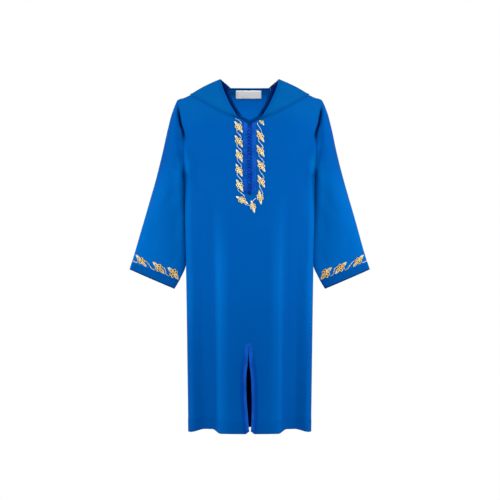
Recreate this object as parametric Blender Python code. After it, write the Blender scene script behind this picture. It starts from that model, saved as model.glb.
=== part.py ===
"""A child's hooded djellaba, hollow and upright as it is when worn, with no wearer inside.

The front of the robe looks along -Y and +Z is up. The origin is the middle of the neck at the height of the
shoulders, where the wearer carries it. Every size below is in millimetres; the meshes are scaled to metres
when they are made. Each piece of cloth is a surface on a general figure, which is then given a wall towards
its inner side. Trims are drawn flat, as pattern pieces, and then laid on the cloth that carries them.
"""

import math

import bmesh
import bpy
from mathutils import Vector
from mathutils.bvhtree import BVHTree
from mathutils.geometry import delaunay_2d_cdt

MM = 0.001

WALL = 1.5  # thickness of the robe's cloth
SEAM_GAP = 0.5  # air between two pieces that are sewn together
TRIM_GAP = 0.5  # air between a trim and the cloth that it lies on

SHOULDER_ROUND = 95.0  # height over which a body panel turns up and over the shoulder
SIDE_POWER = 2.5  # how square the body's section is; 2 is an ellipse
NECK_END_X = 143.5  # where the hood's seam crosses the top of the shoulder
SHOULDER_TIP_X = 174.0
UNDERARM_Z = -206.0

HEM_Z = -810.5
HEM_LIFT = 6.0  # how far the hem is drawn up inside a fold
HEM_DROP_AT_SIDE = 1.5
SLIT_CORNER = 9.0  # width over which the hem's corners turn up at the slit
PLACKET_END_Z = -250.0

HOOD_SEAM_GAP = 1.3  # air under the hood's edge, which bends more than the other seams do
HOOD_LIP = 2.85  # radius of the hood's turn over the back neck seam
HOOD_FOLD = 8.0  # distance between the two layers where the dropped hood turns up again
HOOD_BULGE = 2.5  # how far the hood's front edges curve forwards


class Table:
    """Rows of named columns, read between the rows on a smooth curve that never overshoots them."""

    def __init__(self, columns, *rows):
        self.columns = columns.split()
        self.rows = rows

    def __call__(self, key, column):
        place = self.columns.index(column)
        keys = [row[0] for row in self.rows]
        values = [row[place] for row in self.rows]
        if key <= keys[0]:
            return values[0]
        if key >= keys[-1]:
            return values[-1]
        low = max(i for i, known in enumerate(keys) if known <= key)
        span = keys[low + 1] - keys[low]
        t = (key - keys[low]) / span
        rise = [(b - a) / (q - p) for a, b, p, q in zip(values, values[1:], keys, keys[1:])]
        start = self.slope(rise, low) * span
        end = self.slope(rise, low + 1) * span
        return (
            values[low] * (2 * t**3 - 3 * t**2 + 1)
            + start * (t**3 - 2 * t**2 + t)
            + values[low + 1] * (3 * t**2 - 2 * t**3)
            + end * (t**3 - t**2)
        )

    @staticmethod
    def slope(rise, i):
        """The slope at row i: level at a peak, and otherwise between the slopes on its two sides."""
        if i == 0:
            return rise[0]
        if i == len(rise):
            return rise[-1]
        if rise[i - 1] * rise[i] <= 0:
            return 0.0
        return 2 * rise[i - 1] * rise[i] / (rise[i - 1] + rise[i])


def smooth(t):
    """0 below 0, 1 above 1, and an even S between."""
    t = min(max(t, 0.0), 1.0)
    return t * t * (3 - 2 * t)


# ---------------------------------------------------------------- the figure that fills the robe

# Sections of the body: half its width, where its side seam lies, and how far front and back stand off that.
# Above the underarm the width is that of the shoulders, which the armholes cut short.
BODY = Table(
    "z      half_width  side_y  front  back",
    (-814, 146.0, -10, 62, 56),
    (-620, 148.5, -12, 67, 62),
    (-430, 151.2, -14, 70, 72),
    (-320, 153.8, -12, 74, 78),
    (-206, 157.0, -6, 79, 80),
    (-150, 176.0, -3, 81, 79),
    (-100, 186.0, 0, 82, 76),
    (40, 188.0, 0, 82, 74),
)
SHOULDER = Table(
    "x    height",
    (0, 36),
    (47, 34),
    (70, 26.6),
    (97, 14.6),
    (143.5, -6.5),
    (174, -21.8),
    (190, -30),
)
ARMHOLE = Table(
    "z     x",
    (-206, 157),
    (-160, 156.5),
    (-115, 158),
    (-72, 166),
    (-21.8, 174),
)
FRONT_NECK = Table(
    "x    height",
    (0, -85),
    (30, -69),
    (65, -55),
    (92, -39),
    (126, -16.4),
    (143.5, -6.5),
)
BACK_NECK = Table(
    "x    height",
    (0, 12.5),
    (46.8, 12.5),
    (76, 8.2),
    (108, 1.5),
    (132, -3.4),
    (143.5, -6.5),
)
# The slit in the middle of the front, from the hem up, and the opening under the button band.
MIDDLE = Table(
    "z      x     half_gap",
    (-814, 1.6, 1.4),
    (-798, 1.4, 1.8),
    (-770, 0.6, 3.4),
    (-725, -1.0, 5.2),
    (-680, -2.0, 5.0),
    (-640, -2.0, 3.4),
    (-604, -1.2, 1.2),
    (-560, 0, 1.5),
    (-250, 0, 1.5),
    (-235, 0, 0.8),
    (-85, 0, 0.8),
)

# Hanging folds. A fold starts at one share of the half width, is deepest from bottom_from to bottom_to and
# ends at another share. Depth is at the hem, and it fades out towards top_z.
FOLD_COLUMNS = "side  start_high  start_hem  bottom_from  bottom_to  end  depth  top_z"
FRONT_FOLDS = (
    dict(zip(FOLD_COLUMNS.split(), (-1, 0.42, 0.465, 0.605, 0.72, 1.0, 34, -230))),
    dict(zip(FOLD_COLUMNS.split(), (1, 0.43, 0.455, 0.60, 0.72, 1.0, 33, -215))),
)
BACK_FOLDS = (
    dict(zip(FOLD_COLUMNS.split(), (-1, 0.30, 0.33, 0.50, 0.58, 0.90, 22, -330))),
    dict(zip(FOLD_COLUMNS.split(), (1, 0.26, 0.30, 0.46, 0.56, 0.88, 25, -300))),
)


def fold_depth(folds, x, z):
    """How far the cloth falls back into a fold at this place, in millimetres and as a share of its depth."""
    share = abs(x) / BODY(z, "half_width")
    for fold in folds:
        if fold["side"] * x <= 0:
            continue
        down = min(max((fold["top_z"] - z) / (fold["top_z"] - HEM_Z), 0.0), 1.05)
        start = fold["start_high"] + (fold["start_hem"] - fold["start_high"]) * down
        into = smooth((share - start) / (fold["bottom_from"] - start))
        out = smooth((fold["end"] - share) / (fold["end"] - fold["bottom_to"]))
        return fold["depth"] * down**0.85 * into * out, into * out
    return 0.0, 0.0


def section(x, z):
    """How much of the full depth is left at x: 1 at the middle and 0 at the side seam."""
    share = min(abs(x) / BODY(z, "half_width"), 1.0)
    return math.sqrt(1 - share**SIDE_POWER)


def shoulder_turn(x, z):
    """How much of the full depth is left as the cloth turns over the shoulder: 1 below and 0 on top."""
    up = (z - SHOULDER(abs(x), "height")) / SHOULDER_ROUND + 1
    return math.sqrt(1 - min(max(up, 0.0), 1.0) ** 2)


def front_y(x, z):
    depth = BODY(z, "front") * section(x, z) * shoulder_turn(x, z)
    return BODY(z, "side_y") - depth + fold_depth(FRONT_FOLDS, x, z)[0]


def back_y(x, z):
    depth = BODY(z, "back") * section(x, z) * shoulder_turn(x, z)
    return BODY(z, "side_y") + depth - fold_depth(BACK_FOLDS, x, z)[0]


def hem_z(folds, x):
    """The hem's height: drawn up inside a fold, a little lower at the side seam, turned up at the slit."""
    lift = HEM_LIFT * fold_depth(folds, x, HEM_Z)[1]
    drop = HEM_DROP_AT_SIDE * smooth(abs(x) / BODY(HEM_Z, "half_width") * 2 - 1)
    return HEM_Z + lift - drop


def top_z(neck, x):
    """The upper edge of a body panel: the neck seam, and outside it the top of the shoulder."""
    if abs(x) < NECK_END_X:
        return neck(abs(x), "height")
    return SHOULDER(abs(x), "height")


def edge_x(z):
    """The outer edge of a body panel: the side seam, and above the underarm the armhole."""
    return BODY(z, "half_width") if z < UNDERARM_Z else ARMHOLE(z, "x")


# ---------------------------------------------------------------- making meshes


def material(name, colour, roughness):
    made = bpy.data.materials.new(name)
    made.use_nodes = True
    shader = made.node_tree.nodes["Principled BSDF"]
    shader.inputs["Base Color"].default_value = (*colour, 1.0)
    shader.inputs["Roughness"].default_value = roughness
    return made


def give_wall(mesh, wall, across_seam=None):
    """Gives a surface a wall towards its inner side, which never reaches across the seams with other pieces.

    across_seam(point) is the direction from one piece to the other at a seam, or None away from the seams.
    """
    mesh.normal_update()
    edges = [edge for edge in mesh.edges if edge.is_boundary]
    faces = list(mesh.faces)
    inner = {}
    for vertex in list(mesh.verts):
        inwards = -vertex.normal
        across = across_seam(vertex.co) if across_seam else None
        if across:
            inwards -= across * inwards.dot(across)
            inwards.normalize()
        inner[vertex] = mesh.verts.new(vertex.co + inwards * wall)
    for face in faces:
        mesh.faces.new([inner[vertex] for vertex in reversed(face.verts)])
    for edge in edges:
        first = edge.link_loops[0].vert
        second = edge.other_vert(first)
        mesh.faces.new([second, first, inner[first], inner[second]])
    return mesh


def show(name, mesh, finish):
    """Puts a finished bmesh in the scene, in metres."""
    bmesh.ops.scale(mesh, vec=(MM, MM, MM), verts=mesh.verts)
    data = bpy.data.meshes.new(name)
    mesh.to_mesh(data)
    mesh.free()
    data.materials.append(finish)
    data.shade_smooth()
    piece = bpy.data.objects.new(name, data)
    bpy.context.scene.collection.objects.link(piece)
    return piece


def sheet(columns, rows, place, facing, leave_out=None):
    """A grid of cloth: place(column, row) gives each point, and facing(point) a direction that is outside."""
    mesh = bmesh.new()
    bmesh.ops.create_grid(mesh, x_segments=columns - 1, y_segments=rows - 1, size=1)
    cells = {}
    for vertex in mesh.verts:
        column = round((vertex.co.x + 1) / 2 * (columns - 1))
        row = round((vertex.co.y + 1) / 2 * (rows - 1))
        cells[vertex] = (column, row)
    for vertex, (column, row) in cells.items():
        vertex.co = place(column, row)
    if leave_out:
        gone = [f for f in mesh.faces if leave_out(*map(min, zip(*(cells[v] for v in f.verts))))]
        bmesh.ops.delete(mesh, geom=gone, context="FACES")
    bmesh.ops.remove_doubles(mesh, verts=mesh.verts, dist=0.01)
    mesh.normal_update()
    outside = sum(f.normal.dot(facing(f.calc_center_median())) for f in mesh.faces)
    if outside < 0:
        bmesh.ops.reverse_faces(mesh, faces=mesh.faces)
    return mesh


def ground(mesh):
    """Remembers the outer side of a piece of cloth, for laying trims on it."""
    return BVHTree.FromBMesh(mesh)


def on_front(tree):
    """Finds the front's cloth at x and z, and carries it on past an edge."""

    def find(x, z):
        foot, normal, _, _ = tree.ray_cast(Vector((x, -500, z)), Vector((0, 1, 0)))
        if foot is None:
            foot, normal, _, _ = tree.find_nearest(Vector((x, front_y(x, z), z)))
            foot = Vector((x, foot.y, z))
        return foot, normal

    return find


def lay(pattern, find, low, high):
    """Lays a flat pattern on cloth as a slab between two heights above it; find(x, y) is the point and normal."""
    tops = {}
    for vertex in list(pattern.verts):
        foot, normal = find(vertex.co.x, vertex.co.y)
        tops[vertex] = foot + normal * high
        vertex.co = foot + normal * low
    edges = [edge for edge in pattern.edges if edge.is_boundary]
    faces = list(pattern.faces)
    upper = {vertex: pattern.verts.new(place) for vertex, place in tops.items()}
    for edge in edges:
        first = edge.link_loops[0].vert
        second = edge.other_vert(first)
        pattern.faces.new([second, first, upper[first], upper[second]])
    for face in faces:
        pattern.faces.new([upper[vertex] for vertex in reversed(face.verts)])
    if pattern.calc_volume(signed=True) < 0:
        bmesh.ops.reverse_faces(pattern, faces=pattern.faces)
    return pattern


def strip(across, along, place):
    """A flat pattern with one column for each value of across and one row for each value of along."""
    mesh = bmesh.new()
    bmesh.ops.create_grid(mesh, x_segments=len(across) - 1, y_segments=len(along) - 1, size=1)
    for vertex in mesh.verts:
        column = round((vertex.co.x + 1) / 2 * (len(across) - 1))
        row = round((vertex.co.y + 1) / 2 * (len(along) - 1))
        vertex.co = Vector((*place(across[column], along[row]), 0))
    return mesh


def joined(shapes):
    """One flat pattern with the outline of several overlapping shapes."""
    points = [Vector(point) for shape in shapes for point in shape]
    starts = [sum(len(shape) for shape in shapes[:i]) for i in range(len(shapes))]
    rings = [list(range(start, start + len(shape))) for start, shape in zip(starts, shapes)]
    places, _, faces, _, _, sources = delaunay_2d_cdt(points, [], rings, 0, 0.02)
    mesh = bmesh.new()
    corners = [mesh.verts.new((*place, 0)) for place in places]
    for face, source in zip(faces, sources):
        if source:
            mesh.faces.new([corners[i] for i in face])
    bmesh.ops.delete(mesh, geom=[v for v in mesh.verts if not v.link_faces], context="VERTS")
    return mesh


def cord(middle, width):
    """A narrow shape of even width along a line of points."""
    left, right = [], []
    for i, (x, y) in enumerate(middle):
        (x0, y0), (x1, y1) = middle[max(i - 1, 0)], middle[min(i + 1, len(middle) - 1)]
        run = math.hypot(x1 - x0, y1 - y0)
        a, b = (y1 - y0) / run * width / 2, (x1 - x0) / run * width / 2
        left.append((x + a, y - b))
        right.append((x - a, y + b))
    return left + right[::-1]


# ---------------------------------------------------------------- front and back

FRONT_SHARES = (0.05, 0.11, 0.18, 0.28, 0.36, 0.42, 0.47, 0.52, 0.57, 0.63, 0.70, 0.76, 0.825, 0.88, 0.93, 0.97, 1.0)
BACK_SHARES = (0.0, 0.15, 0.29, 0.37, 0.45, 0.53, 0.62, 0.71, 0.78, 0.825, 0.88, 0.93, 0.97, 1.0)
FRONT_ROWS = (
    *(0.0, 0.03, 0.09, 0.16, 0.23, 0.283, 0.37, 0.46, 0.55, 0.64, 0.71, 0.772),
    *(0.81, 0.845, 0.875, 0.90, 0.92, 0.94, 0.957, 0.972, 0.984, 0.993, 1.0),
)
BACK_ROWS = (
    *(0.0, 0.03, 0.10, 0.18, 0.28, 0.39, 0.50, 0.61, 0.70, 0.772),
    *(0.81, 0.845, 0.875, 0.90, 0.92, 0.94, 0.957, 0.972, 0.984, 0.993, 1.0),
)


def panel_point(share, up, folds, neck, depth_at):
    """A point of a body panel, share of the way to its edge and up from its hem."""
    x = share * BODY(HEM_Z, "half_width")
    bottom = hem_z(folds, x)
    top_x = share * SHOULDER_TIP_X
    for _ in range(6):
        top_x = share * edge_x(top_z(neck, top_x))
    z = bottom + up * (top_z(neck, top_x) - bottom)
    x = share * edge_x(z)
    return Vector((x, depth_at(x, z), z))


def front_point(share, up):
    """The front panel; the two columns nearest the middle are the edges of its two slits."""
    if abs(share) > 0.01:
        point = panel_point(share, up, FRONT_FOLDS, FRONT_NECK, front_y)
        inside = abs(point.x - MIDDLE(point.z, "x"))
    else:
        side = math.copysign(1, share)
        z = HEM_Z + up * (FRONT_NECK(0, "height") - HEM_Z)
        x = MIDDLE(z, "x") + side * MIDDLE(z, "half_gap")
        point = Vector((x, front_y(x, z), z))
        inside = 0.0
    turned_up = HEM_LIFT * (1 - smooth(inside / SLIT_CORNER)) * (1 - smooth(up / 0.02))
    return point + Vector((0, -SEAM_GAP / 2, turned_up))


def back_point(share, up):
    return panel_point(share, up, BACK_FOLDS, BACK_NECK, back_y) + Vector((0, SEAM_GAP / 2, 0))


def panel_seam(point):
    """The direction across a body panel's seam with its neighbour, at the points that lie on a seam."""
    if abs(point.x) > NECK_END_X - 8 and point.z > SHOULDER(abs(point.x), "height") - 2:
        return Vector((0, 1, 0))
    if abs(point.x) > edge_x(point.z) - 0.5:
        return Vector((0, 1, 0) if point.z < UNDERARM_Z + 1 else (1, 0, 0))
    return None


def front_panel():
    shares = [-s for s in reversed(FRONT_SHARES)] + [-0.001, 0.001, *FRONT_SHARES]
    middle = len(FRONT_SHARES)
    slit_rows = FRONT_ROWS.index(0.283)
    placket_rows = FRONT_ROWS.index(0.772)
    return sheet(
        len(shares),
        len(FRONT_ROWS),
        lambda column, row: front_point(shares[column], FRONT_ROWS[row]),
        lambda point: Vector((0, -1, 0)),
        lambda column, row: column == middle and not slit_rows <= row < placket_rows,
    )


def back_panel():
    shares = [-s for s in reversed(BACK_SHARES[1:])] + list(BACK_SHARES)
    return sheet(
        len(shares),
        len(BACK_ROWS),
        lambda column, row: back_point(shares[column], BACK_ROWS[row]),
        lambda point: Vector((0, 1, 0)),
    )


# ---------------------------------------------------------------- sleeves

# Rings of a sleeve from just outside the armhole to the cuff. The inner point lies under the arm and the
# outer point in line with the shoulder; half_depth is front to back, and mid_y is the ring's middle.
SLEEVE = Table(
    "ring  inner_x  inner_z  outer_x  outer_z  half_depth  mid_y",
    (1, 158.6, -207, 179.5, -32, 51, 1),
    (2, 158.6, -209, 187.0, -52, 56, 2),
    (3, 158.2, -212, 197.2, -92, 60, 3),
    (4, 157.4, -220, 208.8, -145, 61, 6),
    (5, 156.0, -236, 222.3, -198, 60, 11),
    (6, 154.4, -268, 237.8, -250, 53, 18),
    (7, 152.2, -312, 251.8, -297, 41, 22),
    (8, 151.0, -362, 265.4, -343, 28, 23),
    (9, 153.0, -412, 277.6, -386, 17, 21),
    (10, 163.5, -441, 283.0, -405, 12, 18),
    (11, 172.8, -457.5, 285.6, -413.5, 11, 17),
    (12, 182.0, -472.5, 289.5, -426, 11, 16),
)
AROUND = 24
CUFF_RING = 12


def ring_point(side, ring, turn):
    """A point of a sleeve: turn runs from 0 under the arm, over the front, and back to 1."""
    angle = 2 * math.pi * turn
    across = (1 - math.cos(angle)) / 2
    if ring < 1:
        z = UNDERARM_Z + across * (SHOULDER(SHOULDER_TIP_X, "height") - UNDERARM_Z)
        x = ARMHOLE(z, "x")
        y = front_y(x, z) if turn <= 0.5 else back_y(x, z)
        return Vector((side * (x + SEAM_GAP), y, z))
    x = SLEEVE(ring, "inner_x") * (1 - across) + SLEEVE(ring, "outer_x") * across
    z = SLEEVE(ring, "inner_z") * (1 - across) + SLEEVE(ring, "outer_z") * across
    y = SLEEVE(ring, "mid_y") - SLEEVE(ring, "half_depth") * math.sin(angle)
    return Vector((side * x, y, z))


def sleeve(side):
    def outwards(point):
        return point - Vector((side * 195, 8, min(point.z, -100)))

    return sheet(
        AROUND + 1,
        CUFF_RING + 1,
        lambda column, row: ring_point(side, row, column % AROUND / AROUND),
        outwards,
    )


def sleeve_seam(point):
    """The direction across the armhole seam, at the points of a sleeve that lie on it."""
    return Vector((1, 0, 0)) if abs(point.x) < ARMHOLE(point.z, "x") + 2 * SEAM_GAP else None


# ---------------------------------------------------------------- hood

# Each row is a line across the hood, from its neck seam to its free edge, beginning at the front and ending
# in the middle of the back. The fold is where the dropped hood turns up again, halfway along the line.
HOOD = Table(
    "line  seam_x  fold_x  fold_z  edge_x  edge_y  edge_z",
    (0, 31.0, 29.9, -67.0, 28.8, -82.5, -65.4),
    (1, 65.0, 53.5, -49.0, 42.0, -70, -43.5),
    (2, 92.0, 72.5, -30.0, 52.8, -58, -21.0),
    (3, 126.0, 94.0, -7.0, 62.3, -38, 2.5),
    (4, 143.5, 106.5, 12.0, 69.6, -8, 30.4),
    (4.4, 142.0, 128.0, 0, 68.8, 5, 31.0),
    (5, 134.0, 130.0, -16, 65.5, 24, 30.0),
    (5.5, 122.0, 121.0, -34, 61.5, 38, 28.0),
    (6, 108.0, 109.0, -57, 56.5, 50, 25.5),
    (7, 76.0, 84.0, -112, 45.5, 70, 18.0),
    (8, 46.8, 50.0, -176, 25.0, 84, 10.0),
    (9, 0.3, 0.3, -242, 0.3, 90, 6.0),
)
HOOD_LINES = (
    *(0.0, 0.5, 1.0, 1.5, 2.0, 2.5, 3.0, 3.5, 4.0),
    *(4.2, 4.4, 4.6, 4.8, 5.0, 5.3, 5.6, 6.0, 6.5, 7.0, 7.5, 8.0, 8.5, 9.0),
)
HOOD_STEPS = (
    *(0.0, 0.03, 0.065, 0.1, 0.12, 0.145, 0.18, 0.23, 0.30, 0.38, 0.45, 0.50),
    *(0.53, 0.57, 0.61, 0.66, 0.74, 0.83, 0.92, 1.0),
)
LIP_END = 0.1
FOLD_AT = 0.55


def hood_point(side, line, step):
    """A point of the hood on one line, step of the way from the neck seam to the free edge."""
    seam_x = HOOD(line, "seam_x")
    fold_x = HOOD(line, "fold_x")
    fold_z = HOOD(line, "fold_z")
    seam_z = top_z(BACK_NECK if line > 4 else FRONT_NECK, min(seam_x, NECK_END_X - 0.001))
    seam_y = back_y(seam_x, seam_z) if line > 4 else front_y(seam_x, seam_z)
    by_shoulder = smooth((line - 4) / 0.4) * smooth((6.1 - line) / 0.8)
    start = Vector((seam_x, seam_y, seam_z + HOOD_SEAM_GAP * (1 + 1.1 * by_shoulder)))
    end = Vector([HOOD(line, column) for column in ("edge_x", "edge_y", "edge_z")])
    straight = start.lerp(end, step)
    swell = HOOD_BULGE * math.sin(math.pi * step)
    straight += Vector((0, -swell, swell * smooth(line - 3)))
    if line <= 4:
        return Vector((side * straight.x, straight.y, straight.z))

    back = smooth((line - 4) / 1.1)
    over = math.pi * min(step / LIP_END, 1.0)
    lip_height = HOOD_LIP * back * math.sin(over)
    lip_depth = HOOD_LIP * back * (1 - math.cos(over)) * (1 + 0.5 * smooth(6 - line))
    fold_depth_here = HOOD_FOLD * back * smooth((step - FOLD_AT + 0.08) / 0.16)
    fold_y = max(back_y(fold_x, fold_z), seam_y) + lip_depth + fold_depth_here
    if step < FOLD_AT:
        away = (1 - max(step - LIP_END, 0.0) / (FOLD_AT - LIP_END)) ** 1.3
        x = fold_x + (start.x - fold_x) * away
        z = fold_z + (start.z - fold_z) * away + lip_height
        y = fold_y + (start.y + lip_depth - fold_y) * away
    else:
        away = ((step - FOLD_AT) / (1 - FOLD_AT)) ** 1.7
        x = fold_x + (end.x - fold_x) * away
        z = fold_z + (end.z - fold_z) * away
        y = fold_y + (end.y - fold_y) * away
    resting = back_y(x, z) + lip_depth + fold_depth_here
    y = (y + resting + math.hypot(y - resting, 2 * math.sin(over / 2) * back)) / 2
    y += 2.5 * by_shoulder * math.sin(over / 2) * (1 - smooth((step - FOLD_AT) / (1 - FOLD_AT)))
    point = straight.lerp(Vector((x, y, z)), smooth((line - 4) / 0.4))
    return Vector((side * point.x, point.y, point.z))


def hood_seam(point):
    """The direction across the seam in the middle of the hood's back, at the points that lie on it."""
    return Vector((1, 0, 0)) if abs(point.x) < 1 else None


def hood_half(side):
    mesh = sheet(
        len(HOOD_LINES),
        len(HOOD_STEPS),
        lambda column, row: hood_point(side, HOOD_LINES[column], HOOD_STEPS[row]),
        lambda point: Vector((0, -1, 0)) if point.y < -20 else Vector((0, 0, 0)),
    )
    return mesh


# ---------------------------------------------------------------- buttons, bands and label

PLACKET_SIDE = 14.7
PLACKET_POINT = 8.0  # how far the band's end comes to a point
BUTTONS = 19
BUTTON_TOP_Z = -97.2
BUTTON_PITCH = 7.8
BUTTON_RADIUS = 3.1
TRIM = 1.2  # thickness of the bands
SLIT_BAND = 8.4


def placket_half(side, find):
    """One side of the button band, from the bottom of the neck opening to a point below the last button."""

    def place(x, down):
        top = FRONT_NECK(x, "height") - 0.6
        bottom = PLACKET_END_Z + PLACKET_POINT * x / PLACKET_SIDE
        return side * x, top + (bottom - top) * down

    return lay(strip((1.0, 5.5, 10, PLACKET_SIDE), [i / 12 for i in range(13)], place), find, TRIM_GAP, TRIM_GAP + TRIM)


def button(z, find):
    """A knot button: a round bead, a little flatter towards the cloth."""
    mesh = bmesh.new()
    bmesh.ops.create_uvsphere(mesh, u_segments=8, v_segments=5, radius=BUTTON_RADIUS)
    foot, normal = find(1.6, z)
    middle = foot + normal * (TRIM_GAP + TRIM + 0.4 + 0.85 * BUTTON_RADIUS)
    bmesh.ops.scale(mesh, vec=(1.05, 0.85, 1.0), verts=mesh.verts)
    bmesh.ops.translate(mesh, vec=(-0.4, middle.y, z), verts=mesh.verts)
    return mesh


def slit_band(find):
    """The edging of the front slit: up one side, round its top and down the other."""
    heights = (-800, -790, -770, -745, -715, -680, -645, -620, -607)
    sides = [(MIDDLE(z, "x"), MIDDLE(z, "half_gap"), z) for z in heights]
    x, gap, z = sides[-1]
    turn = [math.pi * i / 6 for i in range(1, 6)]

    def place(out, i):
        wide = 1.0 + out * SLIT_BAND
        if i < len(sides):
            return sides[i][0] - sides[i][1] - wide, sides[i][2]
        if i < len(sides) + len(turn):
            angle = turn[i - len(sides)]
            return x - (gap + wide) * math.cos(angle), z + (1.5 + wide) * math.sin(angle)
        j = len(sides) * 2 + len(turn) - 1 - i
        return sides[j][0] + sides[j][1] + wide, sides[j][2]

    steps = range(len(sides) * 2 + len(turn))
    return lay(strip((0.0, 0.5, 1.0), steps, place), find, TRIM_GAP, TRIM_GAP + TRIM)


def label():
    """A plain woven label on the inner side of the back, at the neck."""

    def find(x, z):
        return Vector((x, back_y(x, z) - WALL, z)), Vector((0, -1, 0))

    across = [-34 + 63 * i / 7 for i in range(8)]
    return lay(strip(across, (-9.3, -2.6, 4.0, 10.6), lambda x, z: (x, z)), find, 1.0, 2.0)


# ---------------------------------------------------------------- raised vines

VINE = 1.2  # height of the embroidery
STEM = 2.4
STEM_START = 5.0  # how far from a flower's middle its stems start
CUFF_END = 29.0  # height above the cuff's edge at which its vine starts and ends

# The flowers of the neck's vine, down one side of the button band, round below it and up the other side.
# Lean is the direction that the flower's long leaf points in, in degrees.
NECK_FLOWERS = (
    ("x", "z", "lean", "size"),
    (-26.0, -91.5, -55, 1.0),
    (-25.6, -125.0, -57, 1.0),
    (-24.4, -158.5, -64, 1.0),
    (-24.8, -192.6, -63, 1.0),
    (-23.4, -228.5, -61, 1.0),
    (-18.0, -262.4, -32, 0.95),
    (8.6, -278.5, -76, 0.9),
    (24.6, -256.0, -80, 0.9),
    (27.0, -218.5, -61, 1.0),
    (27.0, -182.5, -57, 1.0),
    (25.0, -147.5, -57, 1.0),
    (24.8, -113.0, -59, 1.0),
    (29.0, -84.5, -60, 0.6),
)
# The flowers of a cuff's vine: how far each is shifted along the cuff, its height and its lean. The first
# three lie in front, beginning at the seam under the arm.
CUFF_FLOWERS = (
    (1.4, 27.0, 26),
    (-3.8, 29.2, 23),
    (-1.8, 32.8, 28),
    (1.0, 30.0, 25),
    (-2.0, 31.0, 27),
    (0.5, 28.5, 24),
)
CUFF_FLOWER_SIZE = 1.15

# The outline of a flower: round petals with pointed leaves between them.
FLOWER = (
    ("angle", "radius"),
    (0, 17.3),
    (8, 11.0),
    (22, 7.4),
    (42, 8.4),
    (66, 8.0),
    (88, 5.6),
    (108, 7.6),
    (134, 8.0),
    (156, 7.4),
    (170, 11.0),
    (179, 16.8),
    (188, 10.8),
    (204, 7.4),
    (226, 8.4),
    (248, 7.6),
    (268, 5.6),
    (288, 7.8),
    (312, 8.4),
    (336, 7.4),
    (351, 11.0),
)


def flower(x, y, lean, size=1.0):
    outline = [(math.radians(lean + angle), radius * size) for angle, radius in FLOWER[1:]]
    return [(x + radius * math.cos(angle), y + radius * math.sin(angle)) for angle, radius in outline]


def stem(a, b, sway, steps, trim_start=STEM_START, trim_end=STEM_START):
    """An S-shaped stem between two flowers, which starts and ends inside their outlines."""
    (x0, y0), (x1, y1) = a, b
    run = math.hypot(x1 - x0, y1 - y0)
    across = ((y1 - y0) / run, -(x1 - x0) / run)
    middle = []
    for i in range(steps + 1):
        t = (trim_start + (run - trim_start - trim_end) * i / steps) / run
        off = sway * math.sin(2 * math.pi * t)
        middle.append((x0 + (x1 - x0) * t + across[0] * off, y0 + (y1 - y0) * t + across[1] * off))
    return cord(middle, STEM)


def neck_vine(find):
    rows = NECK_FLOWERS[1:]
    shapes = [flower(*row) for row in rows]
    for here, there in zip(rows, rows[1:]):
        shapes.append(stem(here[:2], there[:2], 4.5, 5, 0.9 * STEM_START * here[3], 0.9 * STEM_START * there[3]))
    return lay(joined(shapes), find, TRIM_GAP, TRIM_GAP + VINE)


def cuff_ring(up):
    """The ring of a sleeve that lies so far above the cuff's edge."""
    return 12 - up / 14 if up < 28 else 10 - (up - 28) / 24


def cuff_vine(side, tree):
    """A vine round the cuff; it starts and ends at the seam under the arm."""
    turns = [i / 240 for i in range(241)]
    walk = [ring_point(side, 10, turn) for turn in turns]
    reached = [0.0]
    for a, b in zip(walk, walk[1:]):
        reached.append(reached[-1] + (b - a).length)
    around = reached[-1]

    def find(along, up):
        i = max(j for j, length in enumerate(reached) if length <= along % around)
        turn = turns[i] + (along % around - reached[i]) / (reached[min(i + 1, 240)] - reached[i] or 1) / 240
        return tree.find_nearest(ring_point(side, cuff_ring(up), turn))[:2]

    pitch = around / len(CUFF_FLOWERS)
    first = around / 4 - pitch
    places = [(first + pitch * i + shift, up) for i, (shift, up, _) in enumerate(CUFF_FLOWERS)]
    shapes = [flower(*place, row[2], CUFF_FLOWER_SIZE) for place, row in zip(places, CUFF_FLOWERS)]
    ends = [(0.8, CUFF_END), *places, (around - 0.8, CUFF_END)]
    for here, there in zip(ends, ends[1:]):
        start, end = (0 if place in (ends[0], ends[-1]) else STEM_START for place in (here, there))
        steps = max(4, round((there[0] - here[0] - start - end) / 2.6))
        shapes.append(stem(here, there, -4, steps, start, end))
    return lay(joined(shapes), find, TRIM_GAP + 0.7, TRIM_GAP + 0.7 + VINE)


# ---------------------------------------------------------------- the robe


def build():
    blue = material("blue_crepe", (0.001, 0.109, 0.456), 0.6)
    satin = material("blue_satin", (0.02, 0.09, 0.6), 0.35)
    knot = material("navy_cord", (0.01, 0.03, 0.25), 0.5)
    gold = material("gold_thread", (0.8, 0.6, 0.3), 0.4)
    white = material("white_label", (0.85, 0.85, 0.83), 0.7)

    front = front_panel()
    chest = on_front(ground(front))
    show("placket_left", placket_half(-1, chest), satin)
    show("placket_right", placket_half(1, chest), satin)
    for i in range(BUTTONS):
        show(f"button_{i + 1:02d}", button(BUTTON_TOP_Z - BUTTON_PITCH * i, chest), knot)
    show("slit_band", slit_band(chest), satin)
    show("neck_vine", neck_vine(chest), gold)
    show("front", give_wall(front, WALL, panel_seam), blue)
    show("back", give_wall(back_panel(), WALL, panel_seam), blue)
    show("label", label(), white)
    for side, name in ((-1, "left"), (1, "right")):
        arm = sleeve(side)
        show("cuff_vine_" + name, cuff_vine(side, ground(arm)), gold)
        show("sleeve_" + name, give_wall(arm, WALL, sleeve_seam), blue)
        show("hood_" + name, give_wall(hood_half(side), WALL, hood_seam), blue)


for old in list(bpy.data.objects):
    bpy.data.objects.remove(old)
build()
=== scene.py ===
"""The looks of a child's hooded djellaba, on the same figure as its solids.

Sizes are in millimetres until `finished` scales a piece to metres. The front looks along -Y, +Z is up and
the origin is the middle of the neck. Cloth is a fine grid on the figure, with its listed creases sunk into
it.
Trims are drawn flat and laid on the cloth that carries them, and the sewing runs along the cloth.
"""

import math

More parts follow.
